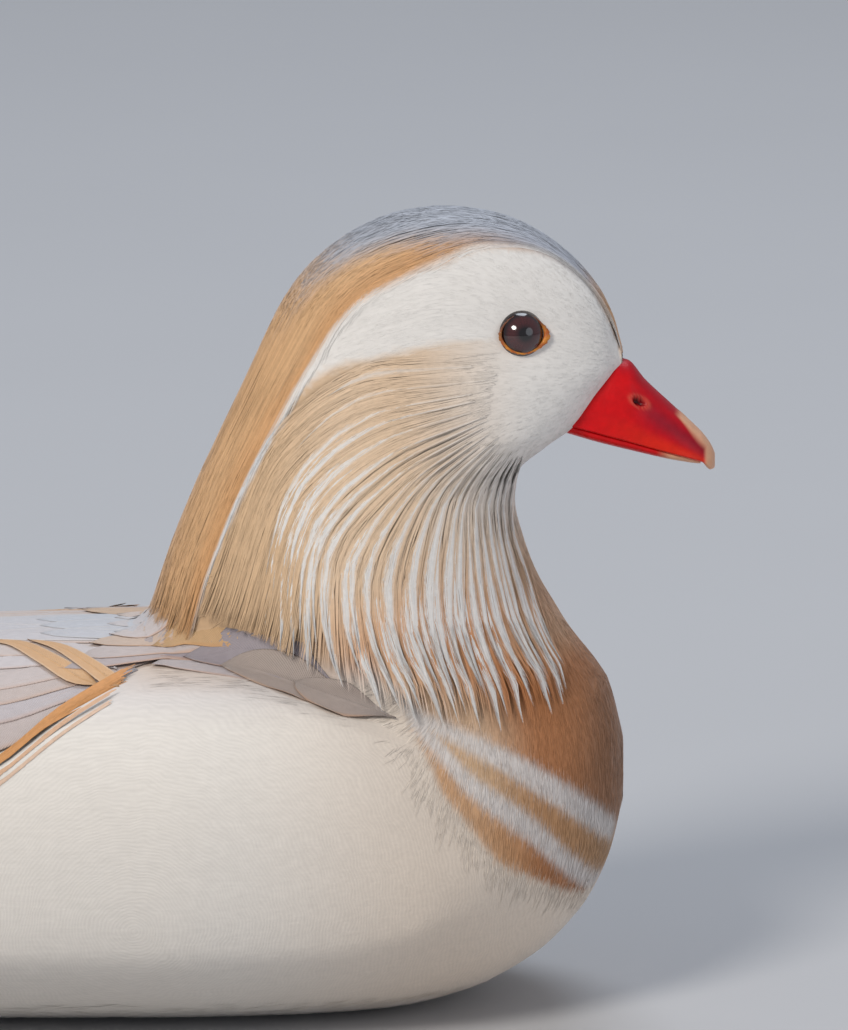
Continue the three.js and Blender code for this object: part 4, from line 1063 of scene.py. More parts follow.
# Tiers of the ruff's feathers, uppermost first: how many, how far round the neck, where along the lines they
# start and end, and how deep they lie.
HACKLE_TIERS = [(20, 90, 0.03, 0.94, 0.0), (16, 80, 0.3, 0.99, 0.12), (15, 80, 0.5, 1.03, 0.28)]
HAIRS = 58  # in each feather
HAIR_POINTS = 5  # along each hair of the finer coats
HAIR_HEIGHT = 0.4  # to its half width
ON_SKIN = 2.5  # a depth that takes the roots down towards the skin


def hairs(name, centre, normal, half, colour, side=1):
    """Strands of long feathers, mirrored for the right side."""
    centre, normal = mirrored(centre, side), mirrored(normal, side)
    return strands(
        name, centre, normal, half, half * HAIR_HEIGHT, colour, centre[:, 0], long_feathers
    )


def ruff_coat(word, side):
    """Long narrow feathers of fine hairs. Each is white along its middle, more so towards its loose point."""
    rows = [
        (rear * (i + 0.5) / n, start, end, deep)
        for n, rear, start, end, deep in HACKLE_TIERS
        for i in range(n)
    ]
    t0, start, end, deep = np.array(rows).T
    count = len(t0)
    t0 = t0 + 0.5 * rng.normal(size=count)
    start = start + 0.05 * rng.uniform(-1, 1, count)
    end = end + 0.022 * rng.normal(size=count) - 0.4 * smooth(t0, 74, 88)
    lean, phase = rng.normal(size=count), rng.uniform(0, 6.3, count)
    full = rng.uniform(0.75, 1.2, count) * (1 - 0.4 * smooth(t0, 70, 84))
    h = np.repeat(np.arange(count), HAIRS)[:, None]
    many = len(h)
    q = (np.tile(np.linspace(-1, 1, HAIRS), count) + 0.06 * rng.normal(size=many))[:, None]
    # The outer hairs leave the shaft later, and all meet again in the point.
    share = np.linspace(0, 1, 7)[None]
    leaves = np.abs(q) * rng.uniform(0, 0.55, (many, 1))
    a = lerp(leaves, 1 - 0.1 * np.abs(q) - 0.04 * rng.random((many, 1)), share)
    s = start[h] + (end[h] - start[h]) * a
    wide = full[h] * (0.75 + 0.8 * smooth(a, 0.05, 0.6) + 1.2 * smooth(s, 0.3, 0))
    wide = wide * smooth(a, 1.03, 0.52) * lerp(0.5, 1, smooth(share, 0, 0.5))
    # The rearmost ones hang down more steeply than the nape's feathers behind them.
    forward = 5 * smooth(t0[h], 58, 82) * smooth(s, 0.3, 1.0)
    forward = forward + 3 * smooth(t0[h], 15, 50) * smooth(s, 0.8, 1.04)
    sway = 0.5 * lean[h] * a + 0.4 * np.sin(3.4 * a + phase[h]) * smooth(a, 0.3, 1.0) - forward
    lift = -deep[h] * (1 + 2 * smooth(a, 0.35, 0)) - 0.16 * np.abs(q) - ON_SKIN * smooth(s, 0.3, 0)
    lift = lift - 0.5 * rng.random((many, 1)) * smooth(s, 0.75, 1.02)
    clear = CLEAR + 0.08 * (1 - np.abs(q)) + 0.1 - 0.35 * deep[h]
    centre, normal = hackle.at(t0[h] + sway + q * wide, s, lift, clear)
    core = lerp(0.3, 0.85, smooth(a, 0.25, 0.95)) * full[h]
    white = smooth(np.abs(q) + 0.2 * rng.normal(size=(many, 1)), core + 0.28, core - 0.25)
    white = white * lerp(0.35, 0.96, smooth(s, 0.0, 0.5)) * lerp(0.6, 1, smooth(t0[h], 89, 74))
    white = white * lerp(smooth(a, 0, 0.35), 1, deep[h] == 0)
    # The white middles carry a random tint of painted sky reflection, more towards the loose tips.
    pale = mix(WHITE, SKY_REFLECTION_WHITE, 0.25 * rng.random((many, 1)) + 0.1 * smooth(s, 0.7, 1))
    colour = mix(plumage(centre), pale, white) * noise_of((many, 1, 1), 0.08)
    half = rng.uniform(0.075, 0.105, (many, 1)) * lerp(0.35, 1, smooth(s, 0, 0.22)) * (1 - 0.3 * a)
    return hairs(f"ruff_coat_{word}", centre, normal, half, colour, side)


def fine_coat(name, side, count, t_low, t_high, half, depth, shade, starts, reach):
    """Fine strands in the colour of the plumage over a part of the hackles' sheet."""
    t = rng.uniform(t_low, t_high, (count, 1))
    start = starts(count)[:, None]
    end = start + reach * rng.uniform(0.7, 1.2, (count, 1))
    end = np.minimum(end, 1.0 + 0.022 * rng.normal(size=(count, 1)))
    a = np.linspace(0, 1, HAIR_POINTS)[None]
    s = lerp(start, end, a)
    lock = np.round(t / 2.2) * 2.2
    t_all = lerp(t, lock, 0.35 * smooth(s, 0.8, 1.0) * a) + 0.35 * rng.normal(size=(count, 1)) * a
    lift = -depth[0] - (depth[1] - depth[0]) * rng.random((count, 1)) - 0.3 * smooth(a, 0.35, 0)
    lift = lift - 0.5 * rng.random((count, 1)) * smooth(s, 0.8, 1.0) - ON_SKIN * smooth(s, 0.3, 0)
    centre, normal = hackle.at(t_all, s, lift)
    size = rng.uniform(*half, (count, 1)) * (1 - 0.35 * a) * lerp(0.55, 1, smooth(s, 0, 0.25))
    tone = 1 + 0.05 * np.sin(lock * 1.7 + 3)[..., None]
    colour = plumage(centre) * noise_of((count, 1, 1), shade) * tone * lerp(0.97, 1.03, a)[..., None]
    return hairs(name, centre, normal, size, colour, side)


# How much darker the soft layer under the long feathers is drawn: painted shade.
PAD_PAINTED_SHADE = 0.97


def plumage_pad(name, sheet, t, s, depth, edge, side):
    """A soft layer under the long feathers, which sinks into the skin along its edges."""
    t, s = np.meshgrid(t, s, indexing="ij")
    room = sheet.read(sheet.room, t, s)
    fall = np.minimum(depth, np.maximum(room - 0.3, 0))
    sink = lerp(-(room + 0.4), -fall, edge(t, s))
    points, normal = sheet.read(sheet.points, t, s), unit(sheet.read(sheet.normals, t, s))
    top = points + normal * sink[..., None]
    bottom = points - normal * (np.maximum(room, fall) + 1.2)[..., None]
    # Painted shade: the layer under the long feathers is drawn a little darker.
    tint = plumage(top) * PAD_PAINTED_SHADE
    return pad(name, mirrored(top, side), mirrored(bottom, side), long_feathers, tint)


def hackle_edge(t, s):
    round_neck = smooth(t, 0.5, 7) * smooth(t, NAPE_END - 0.2, NAPE_END - 5)
    return round_neck * smooth(s, 0.02, 0.3) * smooth(s, 0.95, 0.8)


for word, side in SIDES:
    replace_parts(ruff_coat(word, side), f"ruff_{word}")
    plumage_pad(
        f"ruff_down_{word}", hackle, np.linspace(0, NAPE_END, 92), np.linspace(-0.06, 0.97, 48), 0.9,
        hackle_edge, side,
    )
    fine_coat(
        f"ruff_under_{word}", side, 3000, 0, RUFF_END, (0.14, 0.2), (0.25, 0.7), 0.05,
        lambda n: 0.72 * rng.beta(1.6, 1.0, n) + 0.02 * rng.normal(size=n), 0.3,
    )
    fine_coat(
        f"nape_coat_{word}", side, 4400, RUFF_END - 20, NAPE_END, (0.1, 0.15), (0.1, 0.75), 0.06,
        lambda n: rng.beta(1.2, 1.1, n) * 0.86, 0.3,
    )


# Crest: long silky feathers from the forehead over crown and nape to a hem above the shoulders.
CREST_OVER = 1.14  # how far past its edge its strands may reach
CREST_SPAN = (0, 1.04)


def crest_field(p):
    return np.maximum(plume.distance(p), p[..., 2] - PLUME_TOP)


def crest_sheet():
    """The surface under the crest's feathers: t runs from the middle out and s from the bill to the hem."""
    at = np.linspace(*CREST_SPAN, 105)
    held = np.clip(at, 0, 1)

    def line(table, k):
        # Past the hem each line runs on straight.
        inner = along_rows(table, k)(held)
        beyond = (at - held) * (inner[-6] - inner[-16]) / (at[10] - at[0])
        return inner + np.gradient(inner, at) * (at - held) + beyond

    edge = [line(CROWN_EDGE, k) for k in range(3)]
    middle = [line(CROWN_MIDDLE, k) for k in range(2)]
    t = np.linspace(0, CREST_OVER, 29)[:, None]
    x = lerp(middle[0][None], edge[0][None], t**2)
    z = lerp(middle[1][None], edge[1][None], t**2)
    y = edge[2][None] * np.sin(np.minimum(t, 1) * np.pi / 2) * np.maximum(t, 1)
    points, normals = settled(np.stack([x, y, z], -1), 0, crest_field, 8)
    return Sheet(points, normals, (0, CREST_OVER), CREST_SPAN)


crest = crest_sheet()


def crest_at(t, s, lift):
    """A place on the crest: t runs from -1 at its right edge to 1 at its left."""
    centre, normal = crest.at(np.abs(t), s, lift)
    flip = np.stack([np.ones_like(t), np.where(t < 0, -1.0, 1.0), np.ones_like(t)], -1)
    return centre * flip, normal * flip


def crest_strands(name, count, s_from, s_to):
    """Strands of the crest whose roots lie between two places along it."""
    t = rng.uniform(-1, 1, (count, 1))
    start = rng.uniform(s_from, s_to, (count, 1))
    reach = lerp(0.045, 0.3, smooth(start, 0.02, 0.55)) * rng.uniform(0.75, 1.15, (count, 1))
    hem = 1.0 + 0.02 * rng.normal(size=(count, 1)) + 0.012 * np.sin(t * 31)
    end = np.minimum(start + reach, np.minimum(hem, CREST_SPAN[1]))
    a = np.linspace(0, 1, HAIR_POINTS)[None]
    drift = np.sign(t) * 0.1 * smooth(start, 0.12, 0.25) * smooth(start, 0.62, 0.45) * np.abs(t) ** 3
    lock = np.round(t * 30 + 0.4 * np.sin(start * 30)) / 30
    wander = 0.012 * rng.normal(size=(count, 1)) * smooth(start, 0.02, 0.3)

    def place(part):
        s = lerp(start, end, part)
        pull = 0.6 * smooth(s, 0.45, 1.0) * part
        return np.clip(lerp(t, lock, pull) + (drift + wander) * part, -CREST_OVER, CREST_OVER), s

    t_all, s = place(a)
    depth = rng.random((count, 1)) ** 1.5
    room = crest.read(crest.room, np.abs(t_all), s)
    lift = -0.05 - depth * np.minimum(room, 0.9) - 0.3 * smooth(a, 0.3, 0)
    lift = lift - 0.6 * rng.random((count, 1)) * smooth(s, 0.9, 1.0)
    # Near its edge the crest thins out and lies on the short feathers of the face.
    on_face = smooth(np.abs(t_all), 0.8, 1.0) * smooth(s, 0.98, 0.92)
    lift = lerp(lift, CLEAR * 0.5 - room, on_face)
    centre, normal = crest_at(t_all, s, lift)
    half = rng.uniform(0.1, 0.16, (count, 1)) * (1 - 0.35 * a) * lerp(0.6, 1.0, smooth(start, 0, 0.3))
    t_lag, s_lag = place(a * 0.55)
    colour = plumage(crest_at(t_lag, s_lag, 0)[0])
    # Deeper strands are drawn darker: painted shade under the upper ones.
    tone = 1 + (0.05 * np.sin(lock * 57 + 2 * np.sin(start * 9)) - 0.04 * depth)[..., None]
    colour = colour * noise_of((count, 1, 1), 0.08) * tone * lerp(0.97, 1.04, a)[..., None]
    return hairs(name, centre, normal, half, colour)


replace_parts(crest_strands("crest_coat", 7300, 0.0, 0.5), "crest")
crest_strands("crest_hem_coat", 7300, 0.4, 0.88)


def crest_edge(t, s):
    return smooth(t, 0.97, 0.8) * smooth(s, 0.2, 0.34) * smooth(s, 0.955, 0.86)


for word, side in SIDES:
    plumage_pad(
        f"crest_down_{word}", crest, np.linspace(0, 0.98, 25), np.linspace(0.2, 0.96, 60), 1.0,
        crest_edge, side,
    )


def capped(rings, name, material, tint):
    """A closed mesh over rings of points, with a middle point at each end."""
    return make_piece(name, with_ends(rings), tube_faces(*rings.shape[:2]), material, with_ends(tint))


# Bill: an arched upper half with a nail that hooks over the tip, and a narrow lower half.
NOSTRIL = (158.6, 133.3, 1.55, 0.7, 0.47)  # x, z, half length, half height, slope
RED = linear(214, 4, 14)
CRIMSON = linear(148, 2, 34)
ORANGE_RED = linear(228, 40, 14)
SALMON = linear(222, 96, 74)
NAIL = linear(228, 172, 136)


def half_turns(columns):
    """Angles round a half from top to bottom and back up the other side, and the side that each is on."""
    angle = np.linspace(0, np.pi, columns)
    side = np.concatenate([np.ones(columns), -np.ones(columns - 2)])
    return np.concatenate([angle, angle[1:-1][::-1]]), side


def nostril_distance(x, z):
    """1 on the nostril's outline, less inside it and more outside."""
    nx, nz, length, height, slope = NOSTRIL
    dx, dz = x - nx, z - nz
    u = dx * np.cos(slope) - dz * np.sin(slope)
    v = dx * np.sin(slope) + dz * np.cos(slope)
    return np.hypot(u / length, v / height)


def bell(x, middle, wide):
    return np.exp(-(((x - middle) / wide) ** 2))


def bill_half(name, loft, rows, upper):
    """One half of the bill. The upper has nostrils, a nail and a raised rim along its cutting edge."""
    along = along_rows(rows, 0)(np.linspace(0, 1, 150))
    angle, side = half_turns(61)
    p = loft.point(along[:, None], angle[None], side[None])
    x, z = p[..., 0], p[..., 2]
    colour = np.broadcast_to(RED, p.shape)
    if not upper:
        return capped(p, name, bill_material, mix(colour, NAIL, smooth(x, 162, 166)))
    n = unit(gradient(loft.radius, p))
    high, low = loft.section(along)[:2]
    under = high[:, None] - z
    depth = under / np.maximum(high - low, 0.5)[:, None]
    r = nostril_distance(x, z)
    hole = smooth(r, 1.15, 0.6)
    rim = bell(r, 1.45, 0.35)
    nail = smooth(x + 0.5 * under, 166.4, 168.2) * smooth(under, lerp(1.2, 2.8, smooth(x, 167, 172)), 0.7)
    nail = np.maximum(nail, smooth(x, 172.4, 173.4))
    edge = bell(depth, 0.93, 0.06) * smooth(x, 174, 170)
    groove = bell(depth, 0.8, 0.08) * smooth(x, 173, 168)
    p = p + n * (0.16 * rim - 1.4 * hole + 0.18 * nail + 0.12 * edge - 0.12 * groove)[..., None]
    purple = bell(depth, 0.4, 0.27) * smooth(x, 155, 163)
    colour = mix(colour, CRIMSON, 0.85 * purple + 0.55 * smooth(depth, 0.2, 0.02))
    colour = mix(colour, ORANGE_RED, smooth(depth, 0.62, 0.85) * smooth(x, 146, 170))
    colour = mix(colour, SALMON, 0.55 * rim)
    # The nostril's hollow is painted near black: painted shade inside it.
    colour = mix(colour, CRIMSON * 0.25, hole)
    return capped(p, name, bill_material, mix(colour, NAIL, nail))


bill_material = horn_material("bill_horn", 0.4, 0.0, 1300.0, 0.00005, 0.05, specular=0.28)
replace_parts(bill_half("bill_top", bill_upper, BILL_UPPER, True), "bill_upper")
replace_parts(bill_half("bill_bottom", bill_lower, BILL_LOWER, False), "bill_lower")

# Eye: a dark ball with a red-brown iris under a clear wet surface, in a ring of bare orange skin.
PUPIL = 1.5
IRIS = linear(74, 30, 30)
IRIS_RAYS = linear(56, 20, 22)
IRIS_INNER = linear(48, 18, 20)
IRIS_EDGE = linear(26, 10, 12)
PUPIL_COLOUR = linear(14, 5, 7)
LID_ORANGE = linear(222, 140, 44)
LID_RUST = linear(186, 96, 34)
LID_DARK = linear(84, 40, 28)
LID_REAR = linear(120, 74, 44)
EYE_HALF = (4.5, 3.85)  # length and height of the opening, halved
eye_material, eye_tree, eye_shader, eye_tint = surface("eye_glass", 0.12, 0.5, 0.0, 1.0)
eye_tree.links.new(eye_tint, eye_shader.inputs["Base Color"])
lid_material = horn_material("eyelid_skin", 0.45, 0.1, 2200.0, 0.00012, 0.15, 0.12)


def eye_axes(side):
    """The eye's place on the head's outer form, and the ways ahead, up and out from it."""
    angle = plume.angle(EYE_Z, EYE_X)
    place = plume.point(np.array(EYE_Z), angle, side)
    out = unit(gradient(plume.radius, place))
    up = unit(np.array([0, 0, 1]) - out * out[2])
    along = np.cross(up, out)
    return place, along * -side, up, out


def eye_ball(word, side):
    """The ball, a little bulged in front, with pupil and iris in its colours."""
    place, ahead, up, out = eye_axes(side)
    turn = np.linspace(0, 2 * np.pi, 64, endpoint=False)[None]
    fall = np.linspace(0.012, np.pi - 0.012, 44)[:, None]
    flat = EYE_RADIUS * np.sin(fall) + 0 * turn
    bulge = 0.35 * np.exp(-((flat / 3.2) ** 2)) * (np.cos(fall) > 0)
    high = EYE_RADIUS * np.cos(fall) - EYE_DEPTH + bulge
    p = (
        place
        + (flat * np.cos(turn))[..., None] * ahead
        + (flat * np.sin(turn))[..., None] * up
        + high[..., None] * out
    )
    rays = 0.5 + 0.5 * np.sin(turn * 34 + 2 * np.sin(turn * 7))
    colour = mix(np.broadcast_to(IRIS, p.shape), IRIS_RAYS, 0.6 * rays * (flat < 5))
    colour = mix(colour, IRIS_INNER, smooth(flat, 2.4, 1.7))
    colour = mix(colour, IRIS_EDGE, smooth(flat, 3.4, 4.2))
    colour = mix(colour, PUPIL_COLOUR, smooth(flat, PUPIL + 0.25, PUPIL - 0.2))
    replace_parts(capped(p, f"eye_ball_{word}", eye_material, colour), f"eye_{word}")


def eye_lid(word, side):
    """The ring of skin round the eye's opening."""
    place, ahead, up, out = eye_axes(side)
    rows, columns = 120, 16
    turn = np.linspace(0, 2 * np.pi, rows, endpoint=False)[:, None]
    ring = np.linspace(0, 2 * np.pi, columns, endpoint=False)[None]
    # The ring is thin over the eye, wider under it and widest at the front corner.
    corner = np.maximum(np.cos(turn + 0.15), 0) ** 7
    rear = np.maximum(-np.cos(turn), 0) ** 10
    under = smooth(np.sin(turn), 0.5, -0.4)
    thick = 0.2 + 0.12 * under + 0.42 * corner + 0.1 * rear
    thick = thick * (1 + 0.08 * np.sin(turn * 23) + 0.06 * np.sin(turn * 41 + 1))
    a = (EYE_HALF[0] + thick + 0.25 * corner + 0.15 * rear) * np.cos(turn)
    b = (EYE_HALF[1] + thick) * np.sin(turn)
    a = a + np.cos(turn) * thick * np.cos(ring)
    b = b + np.sin(turn) * thick * np.cos(ring)
    lift = thick * 0.8 * np.sin(ring) - 0.1
    p = place + a[..., None] * ahead + b[..., None] * up + lift[..., None] * out
    # The ring follows the curve of the head.
    p = p + out * (-(plume.distance(p - lift[..., None] * out)))[..., None] * 0.9
    tone = mix(np.broadcast_to(LID_ORANGE, p.shape), LID_RUST, 0.5 + 0.5 * np.sin(turn * 9 + ring))
    tone = mix(tone, LID_DARK, 0.85 * (1 - under) * (1 - corner) + 0 * ring)
    tone = mix(tone, LID_REAR, 0.6 * rear + 0 * ring)
    quads = ring_faces(rows + 1, columns) % (rows * columns)
    lid = make_piece(f"lid_{word}", p.reshape(-1, 3), [quads], lid_material, tone.reshape(-1, 3))
    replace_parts(lid, f"eyelid_{word}")


for word, side in SIDES:
    eye_ball(word, side)
    eye_lid(word, side)


VANE_ACROSS = np.array([-1, -0.94, -0.8, -0.5, -0.2, -0.035, 0, 0.035, 0.2, 0.5, 0.8, 0.94, 1])
VANE_SWEEP = 0.18  # how far a web's sides run back behind its shaft, to its width
UNDERSIDE_PAINTED_SHADE = 0.9  # painted shade: how light a feather's underside is drawn, to its upper side
SHAFT_HEIGHT = 0.28


def feather(place, half, fall, sharp, thick, colour, **more):
    """What vanes needs to know of a feather: place is its middle line and the normals there; fall and sharp
    shape its tip. root is its share of the width at the root and opens how far out it is full. camber bends
    it, skew makes one side wider, lift has its heights over the field along it, and tilt raises one side.
    """
    shape = {"root": 0.55, "opens": 0.25, "camber": 0.0, "skew": 0.0, "lift": None, "tilt": 0.0, **more}
    return {
        "centre": place[0], "normal": place[1], "half": half, "fall": fall, "sharp": sharp, "thick": thick,
        "colour": colour, **shape,
    }


def vane_grid(f, u, s, lift_field):
    """A feather's rings of points, over its top and back under it."""
    centre, normal = f["centre"], f["normal"][:, None]
    ahead = np.gradient(centre, axis=0)
    across = unit(np.cross(ahead, f["normal"]))[:, None]
    profile = f["half"] * lerp(f["root"], 1, smooth(s, 0, f["opens"])) * (1 - s ** f["fall"]) ** f["sharp"]
    wide = np.maximum(profile, 0.02) * np.where(u > 0, 1 + f["skew"], 1 - f["skew"])
    bow = -f["camber"] * (u * wide) ** 2
    back = VANE_SWEEP * np.abs(u) ** 2 * wide * (s > 0.02)
    top = centre[:, None] + across * (u * wide)[..., None]
    top = top + normal * bow[..., None] - unit(ahead)[:, None] * back[..., None]
    if f["lift"] is not None:
        heights = np.interp(s[:, 0], np.linspace(0, 1, len(f["lift"])), f["lift"])[:, None]
        top = raised(top, normal, heights + f["tilt"] * u, lift_field)
    thick = f["thick"] * (1 - 0.65 * np.abs(u) ** 3) * (1 - 0.5 * s)
    shaft = SHAFT_HEIGHT * (np.abs(u) < 0.01) * (1 - s)
    return there_and_back(top + normal * shaft[..., None], top - normal * thick[..., None])


def vanes(name, feathers, material, lift_field=None):
    """Broad feathers in one mesh."""
    u = VANE_ACROSS[None]
    points, faces, tints, flats, bakes = [], [], [], [], []
    start = 0
    for f in feathers:
        k = len(f["centre"])
        s = np.linspace(0, 1, k)[:, None]
        points.append(vane_grid(f, u, s, lift_field).reshape(-1, 3))
        faces.append(plate_faces(k, len(VANE_ACROSS)) + start)
        start += len(points[-1])
        colour = f["colour"](u, s)
        # Undersides are drawn darker: painted shade.
        tints.append(there_and_back(colour, colour * UNDERSIDE_PAINTED_SHADE).reshape(-1, 3))
        length = np.linalg.norm(np.diff(f["centre"], axis=0), axis=1).sum()
        flat = np.stack(np.broadcast_arrays(u * f["half"], s * length), -1)
        flats.append(there_and_back(flat).reshape(-1, 2))
        spot = unwrap(f["centre"][0]) + np.stack(np.broadcast_arrays(u / 2, s - 0.5), -1) * PATCH * 3
        bakes.append(there_and_back(spot).reshape(-1, 2))
    return make_piece(
        name, np.concatenate(points), [np.concatenate(faces)], material, np.concatenate(tints),
        {"OFBake": np.concatenate(bakes), "Vane": np.concatenate(flats)},
    )


def web(base, edge, edge_share, side=0, shaft=0.0, dark=0.0):
    """Colours over a feather: its web, an edging along one side or, for side 0, both, and its shaft."""
    def colour(u, s):
        grid = np.broadcast_to(base, np.broadcast_shapes(u.shape, s.shape) + (3,)).copy()
        grid = mix(grid, grid * 0.8, dark * smooth(s, 0.4, 0.0) + 0 * u)
        reach = smooth(np.abs(u), 0.8, 0.93) if side == 0 else smooth(u * side, 0.78, 0.93)
        grid = mix(grid, edge, np.clip(reach * edge_share * smooth(s, 0.1, 0.4), 0, 1))
        return mix(grid, WHITE, shaft * (np.abs(u) < 0.04) + 0 * s)
    return colour


WING_FRONT, WING_REAR = 108, -104
back_edge = through([[WING_REAR, 4], [-70, 7], [-20, 8], [40, 7], [WING_FRONT, 9]])
wing_edge = through(
    [[WING_REAR, 52], [-80, 50], [-60, 44], [-40, 46], [-20, 52], [0, 58], [19.8, 64.5], [31, 70.5]]
    + [[39, 74.2], [48, 77.4], [56, 79], [70, 78.5], [80, 76.8], [90, 73.6], [100, 70.2], [WING_FRONT, 67.4]]
)


def over_body(x, angle, side):
    """Points just over the body's outer form, and the way out from it there."""
    p = body.point(x, angle, side, 1.0)
    return p, unit(body.point(x, angle, side, 2.0) - p)


def over_wing(x, v, side):
    """The same at a share of the folded wing's width, from its inner edge to its outer one."""
    return over_body(x, lerp(body.angle_out(x, back_edge(x)), body.angle(x, wing_edge(x)), v), side)


LILAC_GREY = linear(166, 156, 161)
LILAC_PALE = linear(198, 188, 188)
LILAC_BROWN = linear(176, 161, 152)
WEB_THICK = 0.22
QUILL_THICK = 0.45  # of the long feathers of wing and tail
# Rows of the folded wing's feathers: how many, x of the first root, length, the band of the wing's width that
# they take up, half width, lifts, and how much further back the last root is than the first.
WING_ROWS = [
    [7, -34, 62, 0.06, 0.74, 7.4, (-0.2, 0.0, 0.15), 8],
    [7, -4, 66, 0.05, 0.74, 8, (-0.1, 0.1, 0.25), 8],
    [7, 30, 60, 0.04, 0.74, 8, (0.0, 0.2, 0.4), 8],
    [7, 62, 56, 0.03, 0.74, 7.8, (-0.3, 0.25, 0.5), 15],
    [4, 86, 44, 0.08, 0.5, 6.8, (0.0, 0.5, 0.75), 8],
]
# Shoulder feathers: x of the root and of the tip, the tip's place across the wing, lift there and colour.
# Their roots gather under the ruff.
SHOULDER = [
    [103, 46, 0.6, 0.4, LILAC_GREY],
    [102, 39, 0.5, 0.55, LILAC_GREY],
    [104, 53, 0.83, 0.55, LILAC_PALE],
    [100, 53, 0.42, 0.68, TAN],
    [104, 60, 0.71, 0.75, LILAC_GREY],
    [105, 68, 0.87, 0.85, LILAC_BROWN],
    [106, 84, 0.87, 1.0, LILAC_BROWN],
]
# Feathers that cross the folded wing: x and y along each, half width, lift and colour.
CROSSED = [
    [[(43, 37.4), (38.1, 34.4), (30.7, 24.7), (23.1, 14), (17, 11)], 3.2, 0.8, APRICOT],
    [[(46, 30), (42, 25.5), (35, 17), (29, 11)], 3.6, 0.5, LILAC],
    [[(46.6, 38), (44.6, 35.6), (39.4, 27.9), (32, 17), (26, 12)], 2.6, 1.0, APRICOT],
]


def wing_field(p):
    """About how far a place lies outside the back, the flanks and the base of the neck."""
    return np.minimum(trunk_field(p), skin_field(p))


def wing_rows(side):
    """The folded wing's own feathers. The two rearmost rows are paler."""
    feathers = []
    s = np.linspace(0, 1, 18)
    for row, (count, x0, length, low, high, half, lifts, slant) in enumerate(WING_ROWS):
        for i in range(count):
            share = i / (count - 1)
            v = lerp(low, high, share)
            start = x0 - slant * share + 2 * rng.uniform(-1, 1)
            end = start - length * rng.uniform(0.93, 1.05)
            place = over_wing(lerp(start, end, s), v + 0.05 * s * rng.uniform(-1, 1), side)
            base = mix(LILAC, LILAC_GREY, 0.8 * smooth(x0, 20, 100) * smooth(v, 0.2, 0.6))
            base = mix(base, TAN, rng.uniform(0, 0.25) + 0.5 * (row == 4) * (i == 1))
            if row < 2:
                base = mix(WHITE, LILAC, rng.uniform(0.2, 0.7))
            colour = web(base, DEEP_APRICOT, 0.4 if row > 3 else 0.2, side, dark=0.2)
            half_here = half * rng.uniform(0.94, 1.05)
            feathers.append(
                feather(place, half_here, 4.4, 0.58, WEB_THICK, colour, lift=lifts, tilt=0.1 * side)
            )
    return feathers


def shoulder_feathers(side):
    """Narrow-rooted feathers between the ruff and the wing."""
    feathers = []
    s = np.linspace(0, 1, 22)
    for root, tip, v, lift, tone in SHOULDER:
        place = over_wing(lerp(root, tip, s), lerp(0.86, v, smooth(s, -0.1, 0.8)), side)
        feathers.append(feather(
            place, 5.8, 4, 0.62, WEB_THICK, web(tone, DEEP_APRICOT, 0.35, side, dark=0.15),
            lift=(lift - 0.9, lift - 0.15, lift), tilt=0.12 * side, root=0.03, opens=0.65,
        ))
    return feathers


def crossing_feathers(side):
    """Feathers across the wing. On the left wing, which the photo doesn't show, they lie lower and fade."""
    feathers = []
    s = np.linspace(0, 1, 18)
    for path, half, lift, tone in CROSSED:
        x, y = along_rows(path, 0)(s), along_rows(path, 1)(s)
        if side > 0:
            lift = 0.4 * lift
            tone = mix(LILAC, tone, smooth(y, 16, 26))[:, None]
        feathers.append(feather(
            over_body(x, body.angle_out(x, y), side), half, 3, 0.7, WEB_THICK,
            web(tone, mix(tone, CREAM, 0.5), 0.5, dark=0.1),
            lift=(0.55 * lift, lift, 0.9 * lift, 0.7 * lift), tilt=0.1 * side, root=0.05, opens=0.35,
        ))
    return feathers


def flight_feathers(side):
    """Feathers that run on over the rump, the longest nearest the middle."""
    feathers = []
    s = np.linspace(0, 1, 22)
    for share in np.arange(9) / 8:
        tip = (lerp(-137, -104, share), lerp(6, 17, share), lerp(69.5, 62.5, share))
        x = lerp(-50, tip[0], s)
        y = side * bezier(23 + 7 * share, 17 + 7 * share, tip[1], s)
        z = bezier(71.2 - 2.6 * share, 66.5 - 3 * share, tip[2], s)
        n = unit(np.array([0.12, side * (0.3 + 0.3 * share), 1.0]))
        place = np.stack([x, y, z], -1), np.broadcast_to(n, (len(s), 3))
        colour = web(mix(WHITE, LILAC, 0.25 + 0.4 * share), CREAM, 0.5, shaft=0.5, dark=0.2)
        feathers.append(feather(place, 5.6, 6, 0.5, QUILL_THICK, colour, camber=0.02, skew=0.25 * side))
    return feathers


def wing(word, side):
    """All of a wing's feathers but its sail, as one piece."""
    feathers = wing_rows(side) + shoulder_feathers(side) + crossing_feathers(side) + flight_feathers(side)
    material = vane_material(f"wing_web_{word}")
    made = vanes(f"wing_feathers_{word}", feathers, material, wing_field)
    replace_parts(made, f"wing_{word}")


# Sail: the tall fan of the innermost wing feather. x and z along its root and its top, and y of both.
SAIL_ROOT = [[8, 74], [-8, 73], [-22, 72], [-36, 71], [-48, 69.5]]
SAIL_TOP = [[-10, 103], [-22, 116], [-36, 123.5], [-50, 125.5], [-60, 119]]
SAIL_OUT = (21, 27)
SAIL_THICK = 0.35


